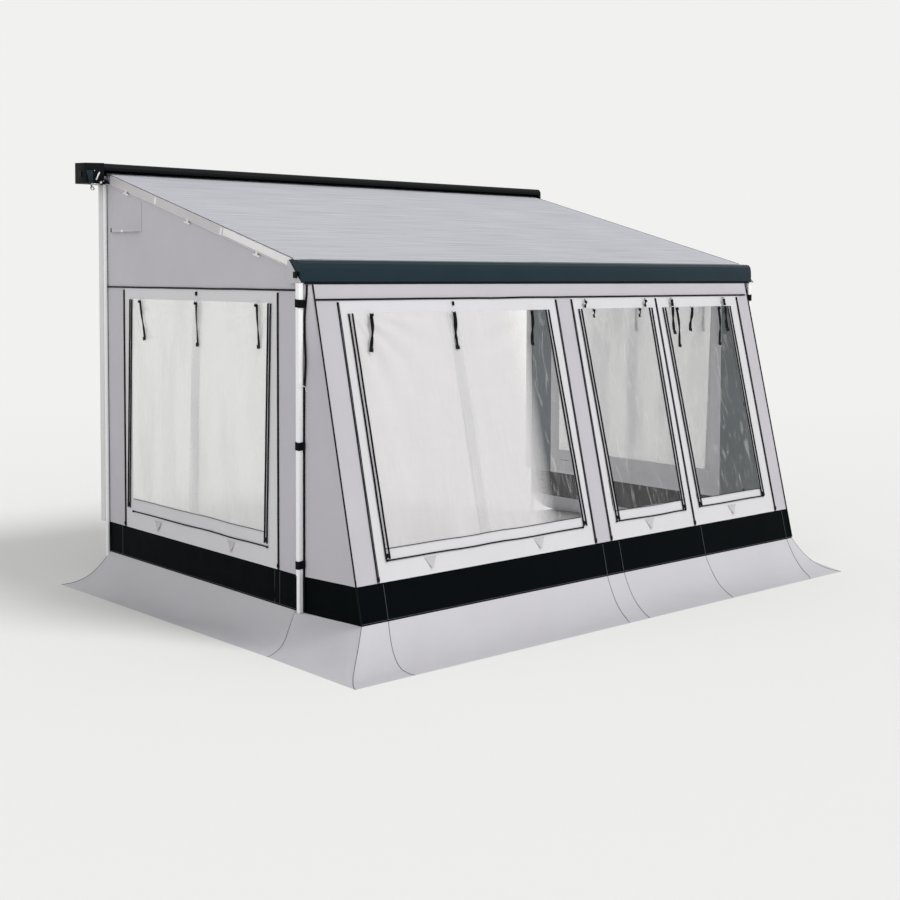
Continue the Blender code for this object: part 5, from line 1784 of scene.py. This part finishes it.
@dataclass
class Skirts:
    """The skirts that flare out on to the ground, and their seams."""

    room: Room
    fall: float = 2.7

    def __post_init__(self) -> None:
        front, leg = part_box("front_skirt"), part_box("leg_outer_left")
        self.corner_out, self.front_out = -front[0].x, front[0].y
        self.leg_y = (leg[0].y + leg[1].y) / 2

    def build(self) -> None:
        """Makes the left skirt, the two corner gussets and the front skirt."""
        room, top, wall = self.room, self.room.skirt_top, self.room.wall
        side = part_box("side_skirt_left")
        far = Corner(room).ends(top)[1]
        seam_y = room.vehicle - room.seam_setback
        hem_seam_y = seam_y - 0.118
        rear, seam = room.spot(-wall, room.rear_setback, top), Vector((-wall, seam_y, top))
        rear_hem, seam_hem = Vector((side[0].x, side[1].y, 0.0)), Vector((-self.corner_out, hem_seam_y, 0.0))
        corner = Vector((-self.corner_out, self.front_out, 0.0))
        right_top = Vector((-far.x, far.y, top))
        right_corner = Vector((room.front - 0.005, self.front_out, 0.0))
        right_seam, right_seam_hem = Vector((wall, seam_y, top)), Vector((self.corner_out, hem_seam_y, 0.0))
        self.piece("skirt_left", (rear, seam), (rear_hem, seam_hem), 2.0, "band_left", "side_skirt_left",
                   seams=((0.0, 0.0), (0.985, 1.0)))
        self.piece("skirt_gusset_1", (seam, far), (seam_hem, corner), 5.0, "corner_band_left",
                   seams=((1.0, 1.0),))
        self.piece("skirt_front", (far, right_top), (corner, right_corner), 9.0, "front_band_cloth",
                   "front_skirt", seams=((0.047, 0.090), (0.498, 0.480), (0.538, 0.5225), (0.748, 0.713),
                                         (0.984, 0.912)))
        self.piece("skirt_gusset_2", (right_top, right_seam), (right_corner, right_seam_hem), 6.0,
                   "front_band_cloth", seams=((0.0, 0.0),))

    def piece(self, name: str, upper: tuple[Vector, Vector], lower: tuple[Vector, Vector], seed: float,
              hangs_from: str, *nodes: str, seams: Sequence[Flat]) -> None:
        """One length of skirt between its sewn edge and its hem on the ground.

        Args:
            name: the piece's name.
            upper, lower: the ends of the sewn edge and of the hem.
            seed: which folds.
            hangs_from: the band it is sewn to.
            nodes: the solids it stands for.
            seams: where each seam starts on the sewn edge and ends on the hem, as shares of them.
        """
        top_length, hem_length = ((ends[1] - ends[0]).length for ends in (upper, lower))
        steps = [self.fallen(upper, lower, 0.5, step / 40, seed, 0.0) for step in range(41)]
        depth = sum((b - a).length for a, b in zip(steps, steps[1:]))
        long = max(top_length, hem_length)
        sheet = Bench.sheet(name, 0.0, long, 0.0, depth, 0.025)
        Bench.shape(sheet, lambda u, v: self.fallen(upper, lower, u / long, 1.0 - v / depth, seed))
        stem, left, _ = name.partition("_left")
        trims = []
        for number, (start, end) in enumerate(seams):
            shares = [min(0.998, max(0.002, start + (end - start) * step / 24)) for step in range(25)]
            line = [self.fallen(upper, lower, share, step / 24, seed) + Vector((0, 0, 0.0012))
                    for step, share in enumerate(shares)]
            trims.append(add_line(f"{stem}_seam_{number + 1}{left}", line, 0.0017, Surface.THREAD))
        sew(sheet, Surface.SKIRT, (long, depth), [hangs_from], *nodes, trims=trims,
            area=(top_length + hem_length) / 2 * depth, angle=60.0)

    def fallen(self, upper: tuple[Vector, Vector], lower: tuple[Vector, Vector], across: float, down: float,
               seed: float, fold: float = 1.0) -> Vector:
        """Where a part of the skirt lies: it drops steeply at first, then runs out along the ground.

        It bulges out round the leg that passes through it, and at the left corner.

        Args:
            upper, lower: the ends of the sewn edge and of the hem.
            across, down: which part, as shares of the skirt.
            seed: which folds.
            fold: how deep they are, as a share.

        Returns:
            Its place.
        """
        hem = lower[0].lerp(lower[1], across)
        drop = 1.0 - (1.0 - down) ** 1.35
        place = upper[0].lerp(upper[1], across).lerp(hem, drop)
        place.z = self.room.skirt_top * (1.0 - drop) ** self.fall
        length = (lower[1] - lower[0]).length
        run, rest = across * length, (1.0 - across) * length
        ripple = wave(run * 2.4, down * 1.1, seed) + 0.4 * wave(run * 7, down * 2, seed)
        held = math.sin(math.pi * min(1.0, down)) * fold
        place.z = max(0.0016, place.z + 0.010 * ripple * held * clamp(min(run, rest) / 0.10))
        corner = Vector((-self.corner_out, self.front_out, 0.0))
        place.x -= 0.032 * hump((hem - corner).length, 0.35) * held
        around = hump(place.y - self.leg_y, 0.055) * (1.0 - down) ** 3
        place.x += math.copysign(0.044, place.x) * around
        return place


@dataclass
class Legs:
    """The straps that hold the walls to the left leg, and the foam against the vehicle."""

    room: Room
    strap_width: float = 0.05

    def build(self) -> None:
        """Makes straps, tie and foam."""
        low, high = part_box("leg_outer_left")
        x, y = (low.x + high.x) / 2, low.y + (high.x - low.x) / 2
        half = (high.x - low.x) / 2 + 0.0012
        for number, z in enumerate((2.12, 1.24, 0.50)):
            self.strap(f"leg_strap_{number + 1}_left", Vector((x, y, z)), half, number)
        tie = [(x - half - 0.004, y - half - 0.004, 1.62), (x + half * 0.4, y - half - 0.010, 1.612),
               (x + half + 0.006, y - half - 0.008, 1.605), (x + half + 0.010, y - half - 0.012, 1.575)]
        add_line("leg_tie_left", tie, 0.0032, Surface.WHITE_CLIP)
        self.foam()

    def strap(self, name: str, middle: Vector, half: float, number: int) -> None:
        """A hook-and-loop strap round the leg, with its loose end."""
        girth = 8 * half
        web = Bench.sheet(name, 0.0, girth * 1.18, -self.strap_width / 2, self.strap_width / 2, 0.004)

        def place(u: float, v: float) -> Vector:
            angle = math.tau * u / girth - 2.2
            c, s = math.cos(angle), math.sin(angle)
            reach = half / (abs(c) ** 8 + abs(s) ** 8) ** 0.125 + 0.0022 * u / girth
            reach += 0.014 * max(0.0, (u / girth - 1.08) / 0.10) ** 2
            return middle + Vector((reach * c, reach * s, v + 0.003 * math.sin(angle + number)))

        Bench.shape(web, place)
        sew(web, Surface.WEBBING, (girth * 1.18, self.strap_width), ["leg_outer_left"], held="folded",
            thickness=-CANVAS, angle=35.0)

    @staticmethod
    def foam() -> None:
        """The foam pad between pole and vehicle, softly dented along its length."""
        low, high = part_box("wall_seal_left")
        pad = Bench.block("foam_pad_left", low, high, 0.006)
        parts = 40
        for part in range(1, parts):
            with Bench.picked(pad):
                cut = (0.0, 0.0, low.z + (high.z - low.z) * part / parts)
                bpy.ops.mesh.bisect(plane_co=cut, plane_no=(0.0, 0.0, 1.0))
        for vert in pad.data.vertices:
            vert.co.x += 0.0012 * wave(0.0, vert.co.y * 20, vert.co.z * 4)
        finish_piece(Bench.smooth(pad), Surface.FOAM, ROOT, "wall_seal_left")
        Twin.made[pad.name].padded = True


def main() -> None:
    """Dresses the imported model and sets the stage."""
    logging.basicConfig(level=logging.INFO, format="%(name)s %(message)s")
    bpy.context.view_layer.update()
    room = Room.measured()
    Stage().build()
    Hardware().dress()
    Awning(room).build()
    SideWall(room).build()
    Corner(room).build()
    Skirts(room).build()
    Legs(room).build()
    Twin.make_all()
    FrontWall(room).build()


if __name__ == "__main__":
    main()
